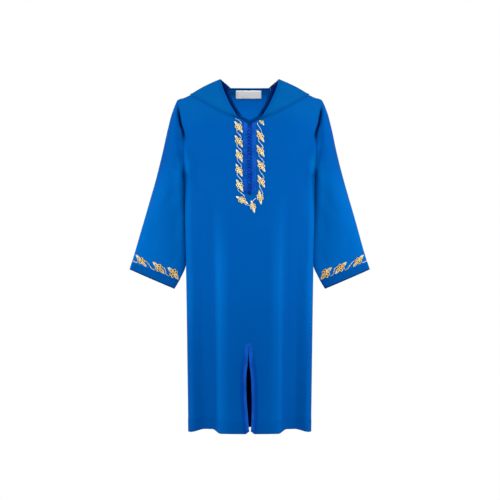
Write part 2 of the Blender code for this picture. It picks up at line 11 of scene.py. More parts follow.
import bmesh
import bpy
from mathutils import Matrix, Vector, noise
from mathutils.bvhtree import BVHTree


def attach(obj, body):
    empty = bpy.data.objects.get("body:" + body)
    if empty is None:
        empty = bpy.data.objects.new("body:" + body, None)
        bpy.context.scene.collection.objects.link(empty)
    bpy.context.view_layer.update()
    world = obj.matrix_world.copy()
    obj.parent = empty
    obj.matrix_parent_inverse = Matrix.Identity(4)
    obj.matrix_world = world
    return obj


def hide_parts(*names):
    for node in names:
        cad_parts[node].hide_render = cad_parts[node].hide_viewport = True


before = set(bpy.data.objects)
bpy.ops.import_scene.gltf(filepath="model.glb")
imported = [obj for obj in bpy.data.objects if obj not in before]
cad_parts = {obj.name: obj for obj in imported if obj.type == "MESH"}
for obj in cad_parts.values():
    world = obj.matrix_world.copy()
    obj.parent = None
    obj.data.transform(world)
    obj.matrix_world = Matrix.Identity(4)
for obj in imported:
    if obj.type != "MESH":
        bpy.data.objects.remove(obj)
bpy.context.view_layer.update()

MM = 0.001

CLOTH = 0.8  # thickness of the crepe
SHOULDER_ROUND = 95.0  # height over which a body panel turns up and over the shoulder
SIDE_POWER = 2.5  # how square the body's section is; 2 is an ellipse
NECK_END_X = 143.5  # where the hood's seam crosses the top of the shoulder
SHOULDER_TIP_X = 174.0
UNDERARM_Z = -206.0
HEM_Z = -810.5
HEM_LIFT = 6.0  # how far the hem is drawn up inside a fold
HEM_DROP_AT_SIDE = 1.5
SLIT_CORNER = 9.0  # width over which the hem's corners turn up at the slit
PLACKET_END_Z = -250.0
HOOD_LIP = 2.85  # radius of the hood's turn over the back neck seam
HOOD_FOLD = 8.0  # distance between the two layers where the dropped hood turns up again
HOOD_BULGE = 2.5  # how far the hood's front edges curve forwards
HOOD_RAISED = 1.2  # how far the hood's seam is raised behind the shoulder
HOOD_PUSHED_BACK = 2.5  # how far the hood stands back there
HOOD_OVERLAP = 0.3  # how far its two halves reach towards each other at the back

FRONT_COLUMNS = 66  # on each side of the middle, closer together towards the armhole
FRONT_ROWS = 235
BACK_COLUMNS = 105
BACK_ROWS = 215
SLEEVE_COLUMNS = 112
SLEEVE_STEPS = 9  # rows of the sleeve's grid for each ring of its table
HOOD_STEPS_ACROSS = 4  # columns of the hood's grid for each line of its list
HOOD_STEPS_ALONG = 3


class Table:
    """Rows of named columns, read between the rows on a smooth curve that never overshoots them.

    The first column is the key. Where none is named, the one after it is read.
    """

    def __init__(self, columns, *rows):
        self.columns = columns.split()
        self.keys = [row[0] for row in rows]
        self.values = {name: [row[i] for row in rows] for i, name in enumerate(self.columns)}

    def __call__(self, key, column=None):
        keys, values = self.keys, self.values[column or self.columns[1]]
        if key <= keys[0]:
            return values[0]
        if key >= keys[-1]:
            return values[-1]
        low = max(i for i, known in enumerate(keys) if known <= key)
        span = keys[low + 1] - keys[low]
        t = (key - keys[low]) / span
        start = self.slope(keys, values, low) * span
        end = self.slope(keys, values, low + 1) * span
        return (
            values[low] * (2 * t**3 - 3 * t**2 + 1)
            + start * (t**3 - 2 * t**2 + t)
            + values[low + 1] * (3 * t**2 - 2 * t**3)
            + end * (t**3 - t**2)
        )

    @staticmethod
    def slope(keys, values, i):
        """The slope at row i: level at a peak, and otherwise between the slopes on its two sides."""

        def rise(j):
            return (values[j + 1] - values[j]) / (keys[j + 1] - keys[j])

        if i == 0:
            return rise(0)
        if i == len(keys) - 1:
            return rise(i - 1)
        before, after = rise(i - 1), rise(i)
        return 0.0 if before * after <= 0 else 2 * before * after / (before + after)


def smooth(t):
    """0 below 0, 1 above 1, and an even S between."""
    t = min(max(t, 0.0), 1.0)
    return t * t * (3 - 2 * t)


def ramp(value, start, end):
    """0 at start and 1 at end, with an even S between; end may be the lower one."""
    return smooth((value - start) / (end - start))


def bell(t):
    return math.exp(-t * t)


# ---------------------------------------------------------------- the figure that fills the robe

BODY = Table(
    "z      half_width  side_y  front  back",
    (-814, 146.0, -10, 62, 56),
    (-620, 148.5, -12, 67, 62),
    (-430, 151.2, -14, 70, 72),
    (-320, 153.8, -12, 74, 78),
    (-206, 157.0, -6, 79, 80),
    (-150, 176.0, -3, 81, 79),
    (-100, 186.0, 0, 82, 76),
    (40, 188.0, 0, 82, 74),
)
SHOULDER = Table(
    "x    height",
    (0, 36),
    (47, 34),
    (70, 26.6),
    (97, 14.6),
    (143.5, -6.5),
    (174, -21.8),
    (190, -30),
)
SHOULDER_TIP_Z = SHOULDER(SHOULDER_TIP_X)
ARMHOLE = Table(
    "z     x",
    (-206, 157),
    (-160, 156.5),
    (-115, 158),
    (-72, 166),
    (-21.8, 174),
)
FRONT_NECK = Table(
    "x    height",
    (0, -85),
    (30, -69),
    (65, -55),
    (92, -39),
    (126, -16.4),
    (143.5, -6.5),
)
BACK_NECK = Table(
    "x    height",
    (0, 12.5),
    (46.8, 12.5),
    (76, 8.2),
    (108, 1.5),
    (132, -3.4),
    (143.5, -6.5),
)
# The slit in the middle of the front, from the hem up, and the opening under the button band.
MIDDLE = Table(
    "z      x     half_gap",
    (-814, 0.8, 1.4),
    (-798, 0.6, 2.3),
    (-770, 0.2, 4.1),
    (-725, -1.3, 5.9),
    (-690, -2.2, 5.9),
    (-668, -2.7, 4.7),
    (-643, -2.9, 1.8),
    (-604, -2.2, 0),
    (-560, 0, 0),
    (-251, 0, 0),
    (-246, 0, 0.8),
    (-85, 0, 0.8),
)


def hanging(*rows):
    """Hanging folds. Each starts at a share of the half width, start_high above and start_hem at the hem.

    It is deepest from bottom_from to bottom_to and ends at another share. Depth is at the hem, and it fades
    out towards top_z.
    """
    columns = "side start_high start_hem bottom_from bottom_to end depth top_z".split()
    return [dict(zip(columns, row)) for row in rows]


FRONT_FOLDS = hanging(
    (-1, 0.42, 0.465, 0.605, 0.72, 1.0, 34, -230),
    (1, 0.43, 0.455, 0.60, 0.72, 1.0, 33, -215),
)
BACK_FOLDS = hanging(
    (-1, 0.30, 0.33, 0.50, 0.58, 0.90, 22, -330),
    (1, 0.26, 0.30, 0.46, 0.56, 0.88, 25, -300),
)


def fold_depth(folds, x, z):
    """How far the cloth falls back into a fold at this place, in millimetres and as a share of its depth."""
    share = abs(x) / BODY(z, "half_width")
    for fold in folds:
        if fold["side"] * x <= 0:
            continue
        down = min(max((fold["top_z"] - z) / (fold["top_z"] - HEM_Z), 0.0), 1.05)
        start = fold["start_high"] + (fold["start_hem"] - fold["start_high"]) * down
        into = ramp(share, start, fold["bottom_from"])
        out = ramp(share, fold["end"], fold["bottom_to"])
        return fold["depth"] * down**0.85 * into * out, into * out
    return 0.0, 0.0


def section(x, z):
    """How much of the full depth is left at x: 1 at the middle and 0 at the side seam."""
    share = min(abs(x) / BODY(z, "half_width"), 1.0)
    return math.sqrt(1 - share**SIDE_POWER)


def shoulder_turn(x, z):
    """How much of the full depth is left as the cloth turns over the shoulder: 1 below and 0 on top."""
    up = (z - SHOULDER(abs(x))) / SHOULDER_ROUND + 1
    return math.sqrt(1 - min(max(up, 0.0), 1.0) ** 2)


def front_y(x, z):
    depth = BODY(z, "front") * section(x, z) * shoulder_turn(x, z)
    return BODY(z, "side_y") - depth + fold_depth(FRONT_FOLDS, x, z)[0]


def back_y(x, z):
    depth = BODY(z, "back") * section(x, z) * shoulder_turn(x, z)
    return BODY(z, "side_y") + depth - fold_depth(BACK_FOLDS, x, z)[0]


def hem_z(folds, x):
    """The hem's height: drawn up inside a fold, a little lower at the side seam."""
    lift = HEM_LIFT * fold_depth(folds, x, HEM_Z)[1]
    drop = HEM_DROP_AT_SIDE * smooth(abs(x) / BODY(HEM_Z, "half_width") * 2 - 1)
    return HEM_Z + lift - drop


def top_z(neck, x):
    """The upper edge of a body panel: the neck seam, and outside it the top of the shoulder."""
    return neck(abs(x)) if abs(x) < NECK_END_X else SHOULDER(abs(x))


def edge_x(z):
    """The outer edge of a body panel: the side seam, and above the underarm the armhole."""
    return BODY(z, "half_width") if z < UNDERARM_Z else ARMHOLE(z)


def panel_height(share, up, folds, neck):
    """The height of a body panel's point, share of the way to its edge and up from its hem."""
    bottom = hem_z(folds, share * BODY(HEM_Z, "half_width"))
    top_x = share * SHOULDER_TIP_X
    for _ in range(6):
        top_x = share * edge_x(top_z(neck, top_x))
    return bottom + up * (top_z(neck, top_x) - bottom)


def front_point(side, share, up):
    """The front panel, which starts at the edge of the slit or of the chest opening."""
    z = panel_height(side * share, up, FRONT_FOLDS, FRONT_NECK)
    start = MIDDLE(z, "x") + side * MIDDLE(z, "half_gap")
    x = start + (side * edge_x(z) - start) * share
    turned_up = HEM_LIFT * (1 - smooth(abs(x - start) / SLIT_CORNER)) * (1 - smooth(up / 0.02))
    return Vector((x, front_y(x, z), z + turned_up))


def back_point(share, up):
    z = panel_height(share, up, BACK_FOLDS, BACK_NECK)
    x = share * edge_x(z)
    return Vector((x, back_y(x, z), z))


# Rings of a sleeve from just outside the armhole to the cuff. The inner point lies under the arm and the
# outer point in line with the shoulder; half_depth is front to back, and mid_y is the ring's middle.
SLEEVE = Table(
    "ring  inner_x  inner_z  outer_x  outer_z  half_depth  mid_y",
    (1, 158.6, -207, 179.5, -32, 51, 1),
    (2, 158.6, -209, 187.0, -52, 56, 2),
    (3, 158.2, -212, 197.2, -92, 60, 3),
    (4, 157.4, -220, 208.8, -145, 61, 6),
    (5, 156.0, -236, 222.3, -198, 60, 11),
    (6, 154.4, -268, 237.8, -250, 53, 18),
    (7, 152.2, -312, 251.8, -297, 41, 22),
    (8, 151.0, -362, 265.4, -343, 28, 23),
    (9, 153.0, -412, 277.6, -386, 17, 21),
    (10, 163.5, -441, 283.0, -405, 12, 18),
    (11, 172.8, -457.5, 285.6, -413.5, 11, 17),
    (12, 182.0, -472.5, 289.5, -426, 11, 16),
)
CUFF_RING = 12


def sleeve_point(side, ring, turn):
    """A point of a sleeve: turn runs from 0 under the arm, over the front, and back to 1."""
    angle = 2 * math.pi * turn
    across = (1 - math.cos(angle)) / 2
    outer = max(ring, 1)
    x = SLEEVE(outer, "inner_x") * (1 - across) + SLEEVE(outer, "outer_x") * across
    z = SLEEVE(outer, "inner_z") * (1 - across) + SLEEVE(outer, "outer_z") * across
    y = SLEEVE(outer, "mid_y") - SLEEVE(outer, "half_depth") * math.sin(angle)
    point = Vector((side * x, y, z))
    if ring < 1:
        z = UNDERARM_Z + across * (SHOULDER_TIP_Z - UNDERARM_Z)
        x = ARMHOLE(z)
        y = front_y(x, z) if turn <= 0.5 else back_y(x, z)
        point = Vector((side * x, y, z)).lerp(point, ring)
    return point


# Each row is a line across the hood, from its neck seam to its free edge, beginning at the front and ending
# in the middle of the back. The fold is where the dropped hood turns up again, halfway along the line.
HOOD = Table(
    "line  seam_x  fold_x  fold_z  edge_x  edge_y  edge_z",
    (0, 31.0, 29.9, -67.0, 28.8, -82.5, -65.4),
    (1, 65.0, 53.5, -49.0, 42.0, -70, -43.5),
    (2, 92.0, 72.5, -30.0, 52.8, -58, -21.0),
    (3, 126.0, 94.0, -7.0, 62.3, -38, 2.5),
    (4, 143.5, 106.5, 12.0, 69.6, -8, 30.4),
    (4.4, 142.0, 128.0, 0, 68.8, 5, 31.0),
    (5, 134.0, 130.0, -16, 65.5, 24, 30.0),
    (5.5, 122.0, 121.0, -34, 61.5, 38, 28.0),
    (6, 108.0, 109.0, -57, 56.5, 50, 25.5),
    (7, 76.0, 84.0, -112, 45.5, 70, 18.0),
    (8, 46.8, 50.0, -176, 25.0, 84, 10.0),
    (9, 0.3, 0.3, -242, 0.3, 90, 6.0),
)
HOOD_LINES = (
    *(0.0, 0.5, 1.0, 1.5, 2.0, 2.5, 3.0, 3.5, 4.0),
    *(4.2, 4.4, 4.6, 4.8, 5.0, 5.3, 5.6, 6.0, 6.5, 7.0, 7.5, 8.0, 8.5, 9.0),
)
HOOD_STEPS = (
    *(0.0, 0.03, 0.065, 0.1, 0.12, 0.145, 0.18, 0.23, 0.30, 0.38, 0.45, 0.50),
    *(0.53, 0.57, 0.61, 0.66, 0.74, 0.83, 0.92, 1.0),
)
LIP_END = 0.1
FOLD_AT = 0.55


def hood_point(side, line, step):
    """A point of the hood on one line, step of the way from the neck seam to the free edge."""
    seam_x = HOOD(line, "seam_x")
    fold_x = HOOD(line, "fold_x")
    fold_z = HOOD(line, "fold_z")
    seam_z = top_z(BACK_NECK if line > 4 else FRONT_NECK, min(seam_x, NECK_END_X - 0.001))
    seam_y = back_y(seam_x, seam_z) if line > 4 else front_y(seam_x, seam_z)
    by_shoulder = smooth((line - 4) / 0.4) * smooth((6.1 - line) / 0.8)
    start = Vector((seam_x, seam_y, seam_z + HOOD_RAISED * by_shoulder))
    end = Vector([HOOD(line, column) for column in ("edge_x", "edge_y", "edge_z")])
    straight = start.lerp(end, step)
    swell = HOOD_BULGE * math.sin(math.pi * step)
    straight += Vector((0, -swell, swell * smooth(line - 3)))
    if line <= 4:
        return Vector((side * straight.x, straight.y, straight.z))

    back = smooth((line - 4) / 1.1)
    over = math.pi * min(step / LIP_END, 1.0)
    lip_height = HOOD_LIP * back * math.sin(over)
    lip_depth = HOOD_LIP * back * (1 - math.cos(over)) * (1 + 0.5 * smooth(6 - line))
    fold_depth_here = HOOD_FOLD * back * smooth((step - FOLD_AT + 0.08) / 0.16)
    fold_y = max(back_y(fold_x, fold_z), seam_y) + lip_depth + fold_depth_here
    if step < FOLD_AT:
        away = (1 - max(step - LIP_END, 0.0) / (FOLD_AT - LIP_END)) ** 1.3
        x = fold_x + (start.x - fold_x) * away
        z = fold_z + (start.z - fold_z) * away + lip_height
        y = fold_y + (start.y + lip_depth - fold_y) * away
    else:
        away = ((step - FOLD_AT) / (1 - FOLD_AT)) ** 1.7
        x = fold_x + (end.x - fold_x) * away
        z = fold_z + (end.z - fold_z) * away
        y = fold_y + (end.y - fold_y) * away
    resting = back_y(x, z) + lip_depth + fold_depth_here
    y = (y + resting + math.hypot(y - resting, 2 * math.sin(over / 2) * back)) / 2
    y += HOOD_PUSHED_BACK * by_shoulder * math.sin(over / 2) * (1 - smooth((step - FOLD_AT) / (1 - FOLD_AT)))
    point = straight.lerp(Vector((x, y, z)), smooth((line - 4) / 0.4))
    return Vector((side * (point.x - HOOD_OVERLAP * smooth(line - 8)), point.y, point.z))


# ---------------------------------------------------------------- finishes


class Wire:
    """A number that changes over a surface. Sums with it add Math nodes."""

    def __init__(self, finish, socket):
        self.finish, self.socket = finish, socket

    def maths(self, operation, first, second=0.0):
        return self.finish.node("ShaderNodeMath", {"operation": operation}, {0: first, 1: second})

    def __add__(self, other):
        return self.maths("ADD", self, other)

    def __sub__(self, other):
        return self.maths("SUBTRACT", self, other)

    def __rsub__(self, other):
        return self.maths("SUBTRACT", other, self)

    def __mul__(self, other):
        return self.maths("MULTIPLY", self, other)

    def size(self):
        return self.maths("ABSOLUTE", self)

    def wave(self):
        """A wave between 0 and 1 that repeats each whole number."""
        return self.maths("SINE", self * (2 * math.pi)) * 0.5 + 0.5

    def clear(self, low, high):
        """0 at low and 1 at high, smoothly between."""
        settings = {"interpolation_type": "SMOOTHSTEP"}
        inputs = {"Value": self, "From Min": low, "From Max": high}
        return self.finish.node("ShaderNodeMapRange", settings, inputs)


class Finish:
    """A material in the making, around one Principled shader."""

    def __init__(self, name, **constants):
        self.material = bpy.data.materials.new(name)
        self.material.use_nodes = True
        self.tree = self.material.node_tree
        self.shader = self.tree.nodes["Principled BSDF"]
        for socket, value in constants.items():
            self.shader.inputs[socket.replace("_", " ")].default_value = value

    def node(self, kind, settings=None, inputs=None, output=0):
        made = self.tree.nodes.new(kind)
        for name, value in (settings or {}).items():
            setattr(made, name, value)
        for socket, value in (inputs or {}).items():
            if isinstance(value, Wire):
                self.tree.links.new(value.socket, made.inputs[socket])
            else:
                made.inputs[socket].default_value = value
        return Wire(self, made.outputs[output])

    def part(self, wire, axis):
        """One of a vector's three numbers."""
        return self.node("ShaderNodeSeparateXYZ", None, {0: wire}, output=axis)

    def across(self):
        """The two flat measures of the cloth, in metres, together and one by one."""
        flat = self.node("ShaderNodeTexCoord", output=2)
        return flat, self.part(flat, 0), self.part(flat, 1)

    def cloud(self, scale, detail=2.0, roughness=0.5, where=None):
        """Soft random patches, between 0 and 1, in the piece's own space or where says."""
        where = where or self.node("ShaderNodeTexCoord", output=3)
        inputs = {"Vector": where, "Scale": scale, "Detail": detail, "Roughness": roughness}
        return self.node("ShaderNodeTexNoise", None, inputs)

    def mark(self, name):
        """A mark that the mesh carries at its points."""
        return self.node("ShaderNodeAttribute", {"attribute_name": name}, output=2)

    def mix(self, share, first, second):
        """A colour between two others."""
        return self.node("ShaderNodeMix", {"data_type": "RGBA"}, {0: share, 6: first, 7: second}, output=2)

    def give(self, socket, wire):
        self.tree.links.new(wire.socket, self.shader.inputs[socket])

    def bump(self, height, depth):
        """Raises the surface by depth millimetres where height is 1."""
        inputs = {"Height": height, "Distance": depth * MM, "Strength": 1.0}
        self.give("Normal", self.node("ShaderNodeBump", None, inputs))


def rgb(red, green, blue):
    """A colour from screen values, 0 to 255."""

    def linear(value):
        value /= 255
        return value / 12.92 if value <= 0.04045 else ((value + 0.055) / 1.055) ** 2.4

    return (linear(red), linear(green), linear(blue), 1.0)


BLUE_GLOSS = (0.05, 0.45, 1.0, 1.0)  # dyed fibres colour what they reflect


def crepe():
    """Soft matt crepe: a fine pebbled weave and faint cloudiness, with painted highlights and painted shade
    in places.
    """
    gloss = {"Specular_IOR_Level": 0.015, "Specular_Tint": BLUE_GLOSS}
    sheen = {"Sheen_Weight": 0.04, "Sheen_Roughness": 0.45, "Sheen_Tint": rgb(2, 110, 235)}
    finish = Finish("blue_crepe", IOR=1.4, **gloss, **sheen)
    flat, along, up = finish.across()
    cloudy = finish.cloud(7.0, 3.0)
    pebble = finish.cloud(950.0, 2.0, 0.6, flat)
    threads = (along * 1700.0).wave() * (up * 1500.0).wave()
    inner = finish.mark("inner")
    shade = finish.mix(cloudy, rgb(0, 64, 129), rgb(0, 69, 136))
    # Marks over the weave: painted highlight, a greener tone, a darker strip by the slit, painted shade and
    # tone, painted light and painted shade on the inner side, and painted shadow.
    for share, colour in (
        (pebble.clear(0.35, 0.7) * 0.22, rgb(0, 48, 108)),
        (finish.mark("painted_highlight"), rgb(0, 98, 173)),
        (finish.mark("teal_tone"), rgb(2, 68, 116)),
        (finish.mark("facing"), rgb(0, 44, 128)),
        (finish.mark("painted_shade_and_tone"), rgb(0, 48, 106)),
        (inner * finish.mark("painted_light_inside"), rgb(0, 90, 176)),
        (inner * finish.mark("painted_shade_inside"), rgb(0, 2, 34)),
        (finish.mark("painted_shadow"), rgb(0, 4, 48)),
    ):
        shade = finish.mix(share, shade, colour)
    finish.give("Base Color", shade)
    finish.give("Roughness", cloudy * 0.1 + pebble * 0.12 + 0.58)
    finish.bump(threads * 0.4 + pebble, 0.07)
    return finish.material


def satin(name, dark, light, gloss):
    """Woven ribbon with a blue gloss and fine ribs across it."""
    finish = Finish(name, IOR=1.45, Specular_IOR_Level=0.25, Specular_Tint=BLUE_GLOSS)
    _, along, up = finish.across()
    cloudy = finish.cloud(60.0, 3.0)
    ribs = (up * 1250.0 + along * 300.0).wave()
    shade = finish.mix(cloudy.clear(0.25, 0.75), dark, light)
    # Painted shadow where the mesh is marked.
    shade = finish.mix(finish.mark("painted_shadow"), shade, rgb(0, 18, 96))
    finish.give("Base Color", finish.mix(ribs * 0.25, shade, dark))
    finish.give("Roughness", cloudy * 0.15 + gloss)
    finish.bump(ribs, 0.05)
    return finish.material


def thread(name, shadow, body, rim, metal, gloss, slant=0.0):
    """Embroidery thread: fine strands side by side, with painted shade in the eyelets and painted highlights
    where they would catch light.
    """
    finish = Finish(name, IOR=1.45, Metallic=metal)
    _, along, up = finish.across()
    strands = (along * 2100.0 + up * slant).wave()
    shade = finish.mix(finish.cloud(120.0).clear(0.3, 0.7), body, rim)
    shade = finish.mix(strands * 0.3, shade, shadow)
    # Painted highlight on the rims.
    shade = finish.mix(finish.mark("rim") * 0.6, shade, rim)
    finish.give("Base Color", finish.mix(finish.mark("hollow"), shade, shadow))
    finish.give("Roughness", strands * 0.15 + gloss)
    finish.bump(strands, 0.12)
    return finish.material


def woven_label():
    """Plain white woven tape with a thin line round it."""
    finish = Finish("white_label", Specular_IOR_Level=0.3)
    _, along, up = finish.across()
    ribs = (along * 2200.0).wave() * (up * 2600.0).wave()
    inside = LABEL_WIDE / 2 * MM - along.size()
    above = LABEL_CUT / 2 * MM - (up - LABEL_CUT / 2 * MM).size()
    near = inside.maths("MINIMUM", inside, above)
    line = near.clear(1.5 * MM, 1.8 * MM) * (1 - near.clear(2.2 * MM, 2.5 * MM))
    shade = finish.mix(finish.cloud(90.0) * 0.3, rgb(255, 255, 255), rgb(248, 250, 251))
    finish.give("Base Color", finish.mix(line * 0.35, shade, rgb(190, 214, 213)))
    finish.give("Roughness", ribs * 0.1 + 0.62)
    finish.bump(ribs, 0.06)
    return finish.material


# ---------------------------------------------------------------- making meshes


def grid(mesh, columns, rows, place):
    """Adds a grid; place(column, row) gives each point, and the lengths along it become its UV map."""
    made = bmesh.ops.create_grid(mesh, x_segments=columns - 1, y_segments=rows - 1, size=1)["verts"]
    cells, points = {}, {}
    for vertex in made:
        cell = round((vertex.co.x + 1) / 2 * (columns - 1)), round((vertex.co.y + 1) / 2 * (rows - 1))
        cells[vertex] = cell
        vertex.co = points[cell] = Vector(place(*cell))
    flat = measured(points, columns, rows)
    layer = mesh.loops.layers.uv.verify()
    for vertex in made:
        for loop in vertex.link_loops:
            loop[layer].uv = flat[cells[vertex]]
    return cells


def measured(points, columns, rows):
    """How far each point lies along its row from the middle, and up its column, in metres."""
    flat = {}
    for row in range(rows):
        reach = [0.0]
        for column in range(1, columns):
            reach.append(reach[-1] + (points[column, row] - points[column - 1, row]).length)
        for column in range(columns):
            flat[column, row] = [(reach[column] - reach[columns // 2]) * MM, 0.0]
    for column in range(columns):
        for row in range(1, rows):
            step = (points[column, row] - points[column, row - 1]).length * MM
            flat[column, row][1] = flat[column, row - 1][1] + step
    return flat


def forwards(point):
    """The outer side of whatever lies on the robe's front."""
    return Vector((0, -1, 0))


def closed(mesh, outside):
    """Welds a grid's edges where they meet and turns its faces towards outside(point)."""
    bmesh.ops.remove_doubles(mesh, verts=mesh.verts, dist=0.01)
    mesh.normal_update()
    if sum(f.normal.dot(outside(f.calc_center_median())) for f in mesh.faces) < 0:
        bmesh.ops.reverse_faces(mesh, faces=mesh.faces)
    mesh.normal_update()


def laid_sheet(columns, rows, place):
    """A new mesh with one grid that faces forwards."""
    mesh = bmesh.new()
    grid(mesh, columns, rows, place)
    closed(mesh, forwards)
    return mesh


def marks(mesh, *names):
    """New marks for the mesh's points, which its finish reads by these names."""
    return [mesh.verts.layers.float.new(name) for name in names]


def marked(mesh, name, amount):
    """Marks the mesh's points with amount(point)."""
    (layer,) = marks(mesh, name)
    for vertex in mesh.verts:
        vertex[layer] = amount(vertex.co)


def spot(vertex):
    """A point's place as a key that is still good after welding."""
    return tuple(round(c, 3) for c in vertex.co)


def moved(mesh, move):
    """Moves each point by move(vertex), all worked out before the first one moves."""
    moves = [(vertex, move(vertex)) for vertex in mesh.verts]
    for vertex, by in moves:
        vertex.co += by


def thickened(mesh, thickness):
    """Gives a sheet its thickness, on the inner side, and marks the points of that side."""
    (inner,) = marks(mesh, "inner")
    mesh.normal_update()
    rim = [edge.link_loops[0] for edge in mesh.edges if edge.is_boundary]
    ends = [(loop.link_loop_next.vert, loop.vert) for loop in rim]
    sides = mesh.faces[:]
    twin = bmesh.ops.duplicate(mesh, geom=mesh.verts[:] + mesh.edges[:] + sides)["vert_map"]
    outer = {vertex for face in sides for vertex in face.verts}
    for vertex in outer:
        twin[vertex].co -= vertex.normal * thickness
        twin[vertex][inner] = 1.0
    bmesh.ops.reverse_faces(mesh, faces=list({f for v in outer for f in twin[v].link_faces}))
    for a, b in ends:
        mesh.faces.new((a, b, twin[b], twin[a]))


def put(name, data):
    """A new object in the scene."""
    made = bpy.data.objects.new(name, data)
    bpy.context.scene.collection.objects.link(made)
    return made


def finished(name, mesh, finish, stands_for, thickness=0.0):
    """Puts a finished piece in the scene, in metres, in place of the solids that it stands for."""
    if thickness:
        thickened(mesh, thickness)
    bmesh.ops.scale(mesh, vec=(MM, MM, MM), verts=mesh.verts)
    data = bpy.data.meshes.new(name)
    mesh.to_mesh(data)
    mesh.free()
    data.materials.append(finish)
    data.shade_smooth()
    piece = put(name, data)
    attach(piece, "root")
    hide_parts(*stands_for)
    return piece


# ---------------------------------------------------------------- creases and seams

# Soft creases, each from one place to another: x0, z0, x1, z1, how wide and deep it is (below 0 is a ridge)
# and how far its middle bows aside.
FRONT_CREASES = (
    (-150, -196, -104, -262, 11, 1.5, 6),
    (-146, -214, -118, -330, 12, 1.4, 5),
    (-152, -150, -112, -205, 10, 0.9, -4),
    (149, -192, 112, -250, 12, 1.6, -5),
    (147, -216, 126, -352, 10, 1.2, -6),
    (152, -140, 108, -188, 11, 0.8, 4),
    (-92, -70, -72, -150, 14, 0.8, 5),
    (96, -66, 70, -160, 15, 0.9, -6),
    (-40, -300, -52, -560, 16, -1.2, 4),
    (44, -310, 55, -600, 17, -1.1, -5),
    (-22, -330, -30, -620, 15, 0.9, -3),
    (20, -350, 34, -640, 17, 1.0, 4),
    (-70, -520, -74, -800, 9, -1.5, 2),
    (72, -500, 76, -800, 9, -1.4, -2),
    (-128, -420, -124, -790, 9, 1.3, 4),
    (130, -450, 126, -800, 8, 1.2, -3),
    (-38, -700, -44, -806, 12, 0.9, 3),
    (48, -690, 40, -806, 13, 1.0, -3),
)
BACK_CREASES = (
    (-150, -190, -96, -282, 12, 1.8, 7),
    (-146, -230, -120, -360, 11, 1.3, 5),
    (151, -186, 104, -268, 11, 1.5, -6),
    (148, -226, 128, -340, 12, 1.5, -5),
    (-60, -330, -76, -640, 15, -1.3, 5),
    (58, -350, 72, -600, 16, -1.2, -4),
    (-20, -300, -12, -600, 18, 1.2, 6),
    (26, -380, 20, -700, 16, 1.1, -5),
    (-118, -470, -112, -800, 9, 1.4, 4),
    (121, -440, 116, -795, 10, 1.3, -3),
    (-4, -560, 6, -806, 13, -1.2, 5),
)
SLEEVE_CREASES = {  # by the sleeve's side and by its half, -1 in front and 1 behind
    (-1, -1): (
        (-163, -206, -186, -176, 5.5, 2.6, 2),
        (-170, -226, -214, -286, 10, 1.2, -5),
        (-160, -262, -178, -366, 9, 1.5, 5),
        (-196, -120, -222, -232, 12, -1.0, 6),
        (-222, -300, -232, -384, 12, 1.0, 4),
        (-172, -372, -196, -424, 9, 1.2, -3),
    ),
    (1, -1): (
        (163, -208, 183, -182, 6.0, 2.2, -2),
        (171, -230, 210, -300, 11, 1.3, 5),
        (160, -270, 180, -356, 9, 1.4, -5),
        (198, -126, 226, -246, 12, -1.1, -5),
        (226, -318, 238, -394, 11, 0.9, -4),
        (170, -380, 190, -420, 9, 1.3, 3),
    ),
    (-1, 1): (
        (-164, -204, -196, -168, 7, 2.2, 3),
        (-168, -238, -206, -330, 11, 1.6, -5),
        (-190, -150, -224, -250, 13, 1.1, 6),
        (-186, -350, -214, -410, 10, 1.2, 3),
    ),
    (1, 1): (
        (164, -206, 192, -174, 6.5, 2.4, -3),
        (170, -246, 214, -322, 12, 1.4, 6),
        (192, -138, 220, -236, 12, 1.2, -5),
        (180, -340, 208, -414, 10, 1.3, -4),
    ),
}

TUCK = 12.0  # depth of the tuck along the upper armhole
TUCK_LEAN = 2.4  # how far its lower end leans in from the seam
SEAM_DIP = 0.9
SEAM_WIDTH = 1.7
ARMHOLE_FILL = 9.0  # how far the cloth is drawn out over the lower armhole
SIDE_FILL = 5.0  # how much fuller the cloth is beside the line where sleeve and body touch
SHOULDER_LIFT = 2.8  # how far the shoulder's corner is rounded up
SHOULDER_CORNER_X = 168.0
SLEEVE_LEAVES_Z = -400.0  # where the sleeve's inner edge leaves the body
SLEEVE_PRESS = 1.7  # how far the sleeve's inner edge is pressed on the body
UNEVENNESS = 0.7  # height of the cloth's slow unevenness
HEM_DEEP = 31.6
HEM_PROUD = 0.45  # how far the doubled cloth of the hem stands out


def creased(creases, x, z):
    """How deep the cloth lies in its creases at this place."""
    total = 0.0
    for x0, z0, x1, z1, width, depth, bow in creases:
        run_x, run_z = x1 - x0, z1 - z0
        length = math.hypot(run_x, run_z)
        t = ((x - x0) * run_x + (z - z0) * run_z) / length**2
        if 0 < t < 1:
            aside = ((x - x0) * run_z - (z - z0) * run_x) / length - bow * math.sin(math.pi * t)
            if abs(aside) < 3 * width:
                total += depth * bell(aside / width) * smooth(3 * t) * smooth(3 * (1 - t))
    return total


def drift(point, size, seed):
    """Slow unevenness, between about -1 and 1."""
    return noise.noise(Vector((point.x / size, point.y / size + seed, point.z / (size * 1.8))))


def tuck(off, z, wide, on_sleeve):
    """The long tuck along the upper armhole, from 0 to 1, off millimetres from the seam."""
    lean = TUCK_LEAN * ramp(z, -76, -102) * (1 if on_sleeve else -1)
    return ramp(z, -34, -68) * ramp(z, -124, -104) * bell((off + lean) / wide)


def armhole_dip(off, z, on_sleeve):
    """How far the cloth goes in beside the armhole seam, towards the middle of the sleeve head."""
    ends = ramp(z, UNDERARM_Z, UNDERARM_Z + 14) * ramp(z, SHOULDER_TIP_Z, SHOULDER_TIP_Z - 14)
    low = ramp(z, -118, -142) * ramp(z, UNDERARM_Z - 6, UNDERARM_Z + 18)
    seam = ends * (1 - 0.8 * low) * SEAM_DIP * bell(off / SEAM_WIDTH)
    return seam + TUCK * tuck(off, z, 2.6, on_sleeve) - ARMHOLE_FILL * low * bell(off / 13)


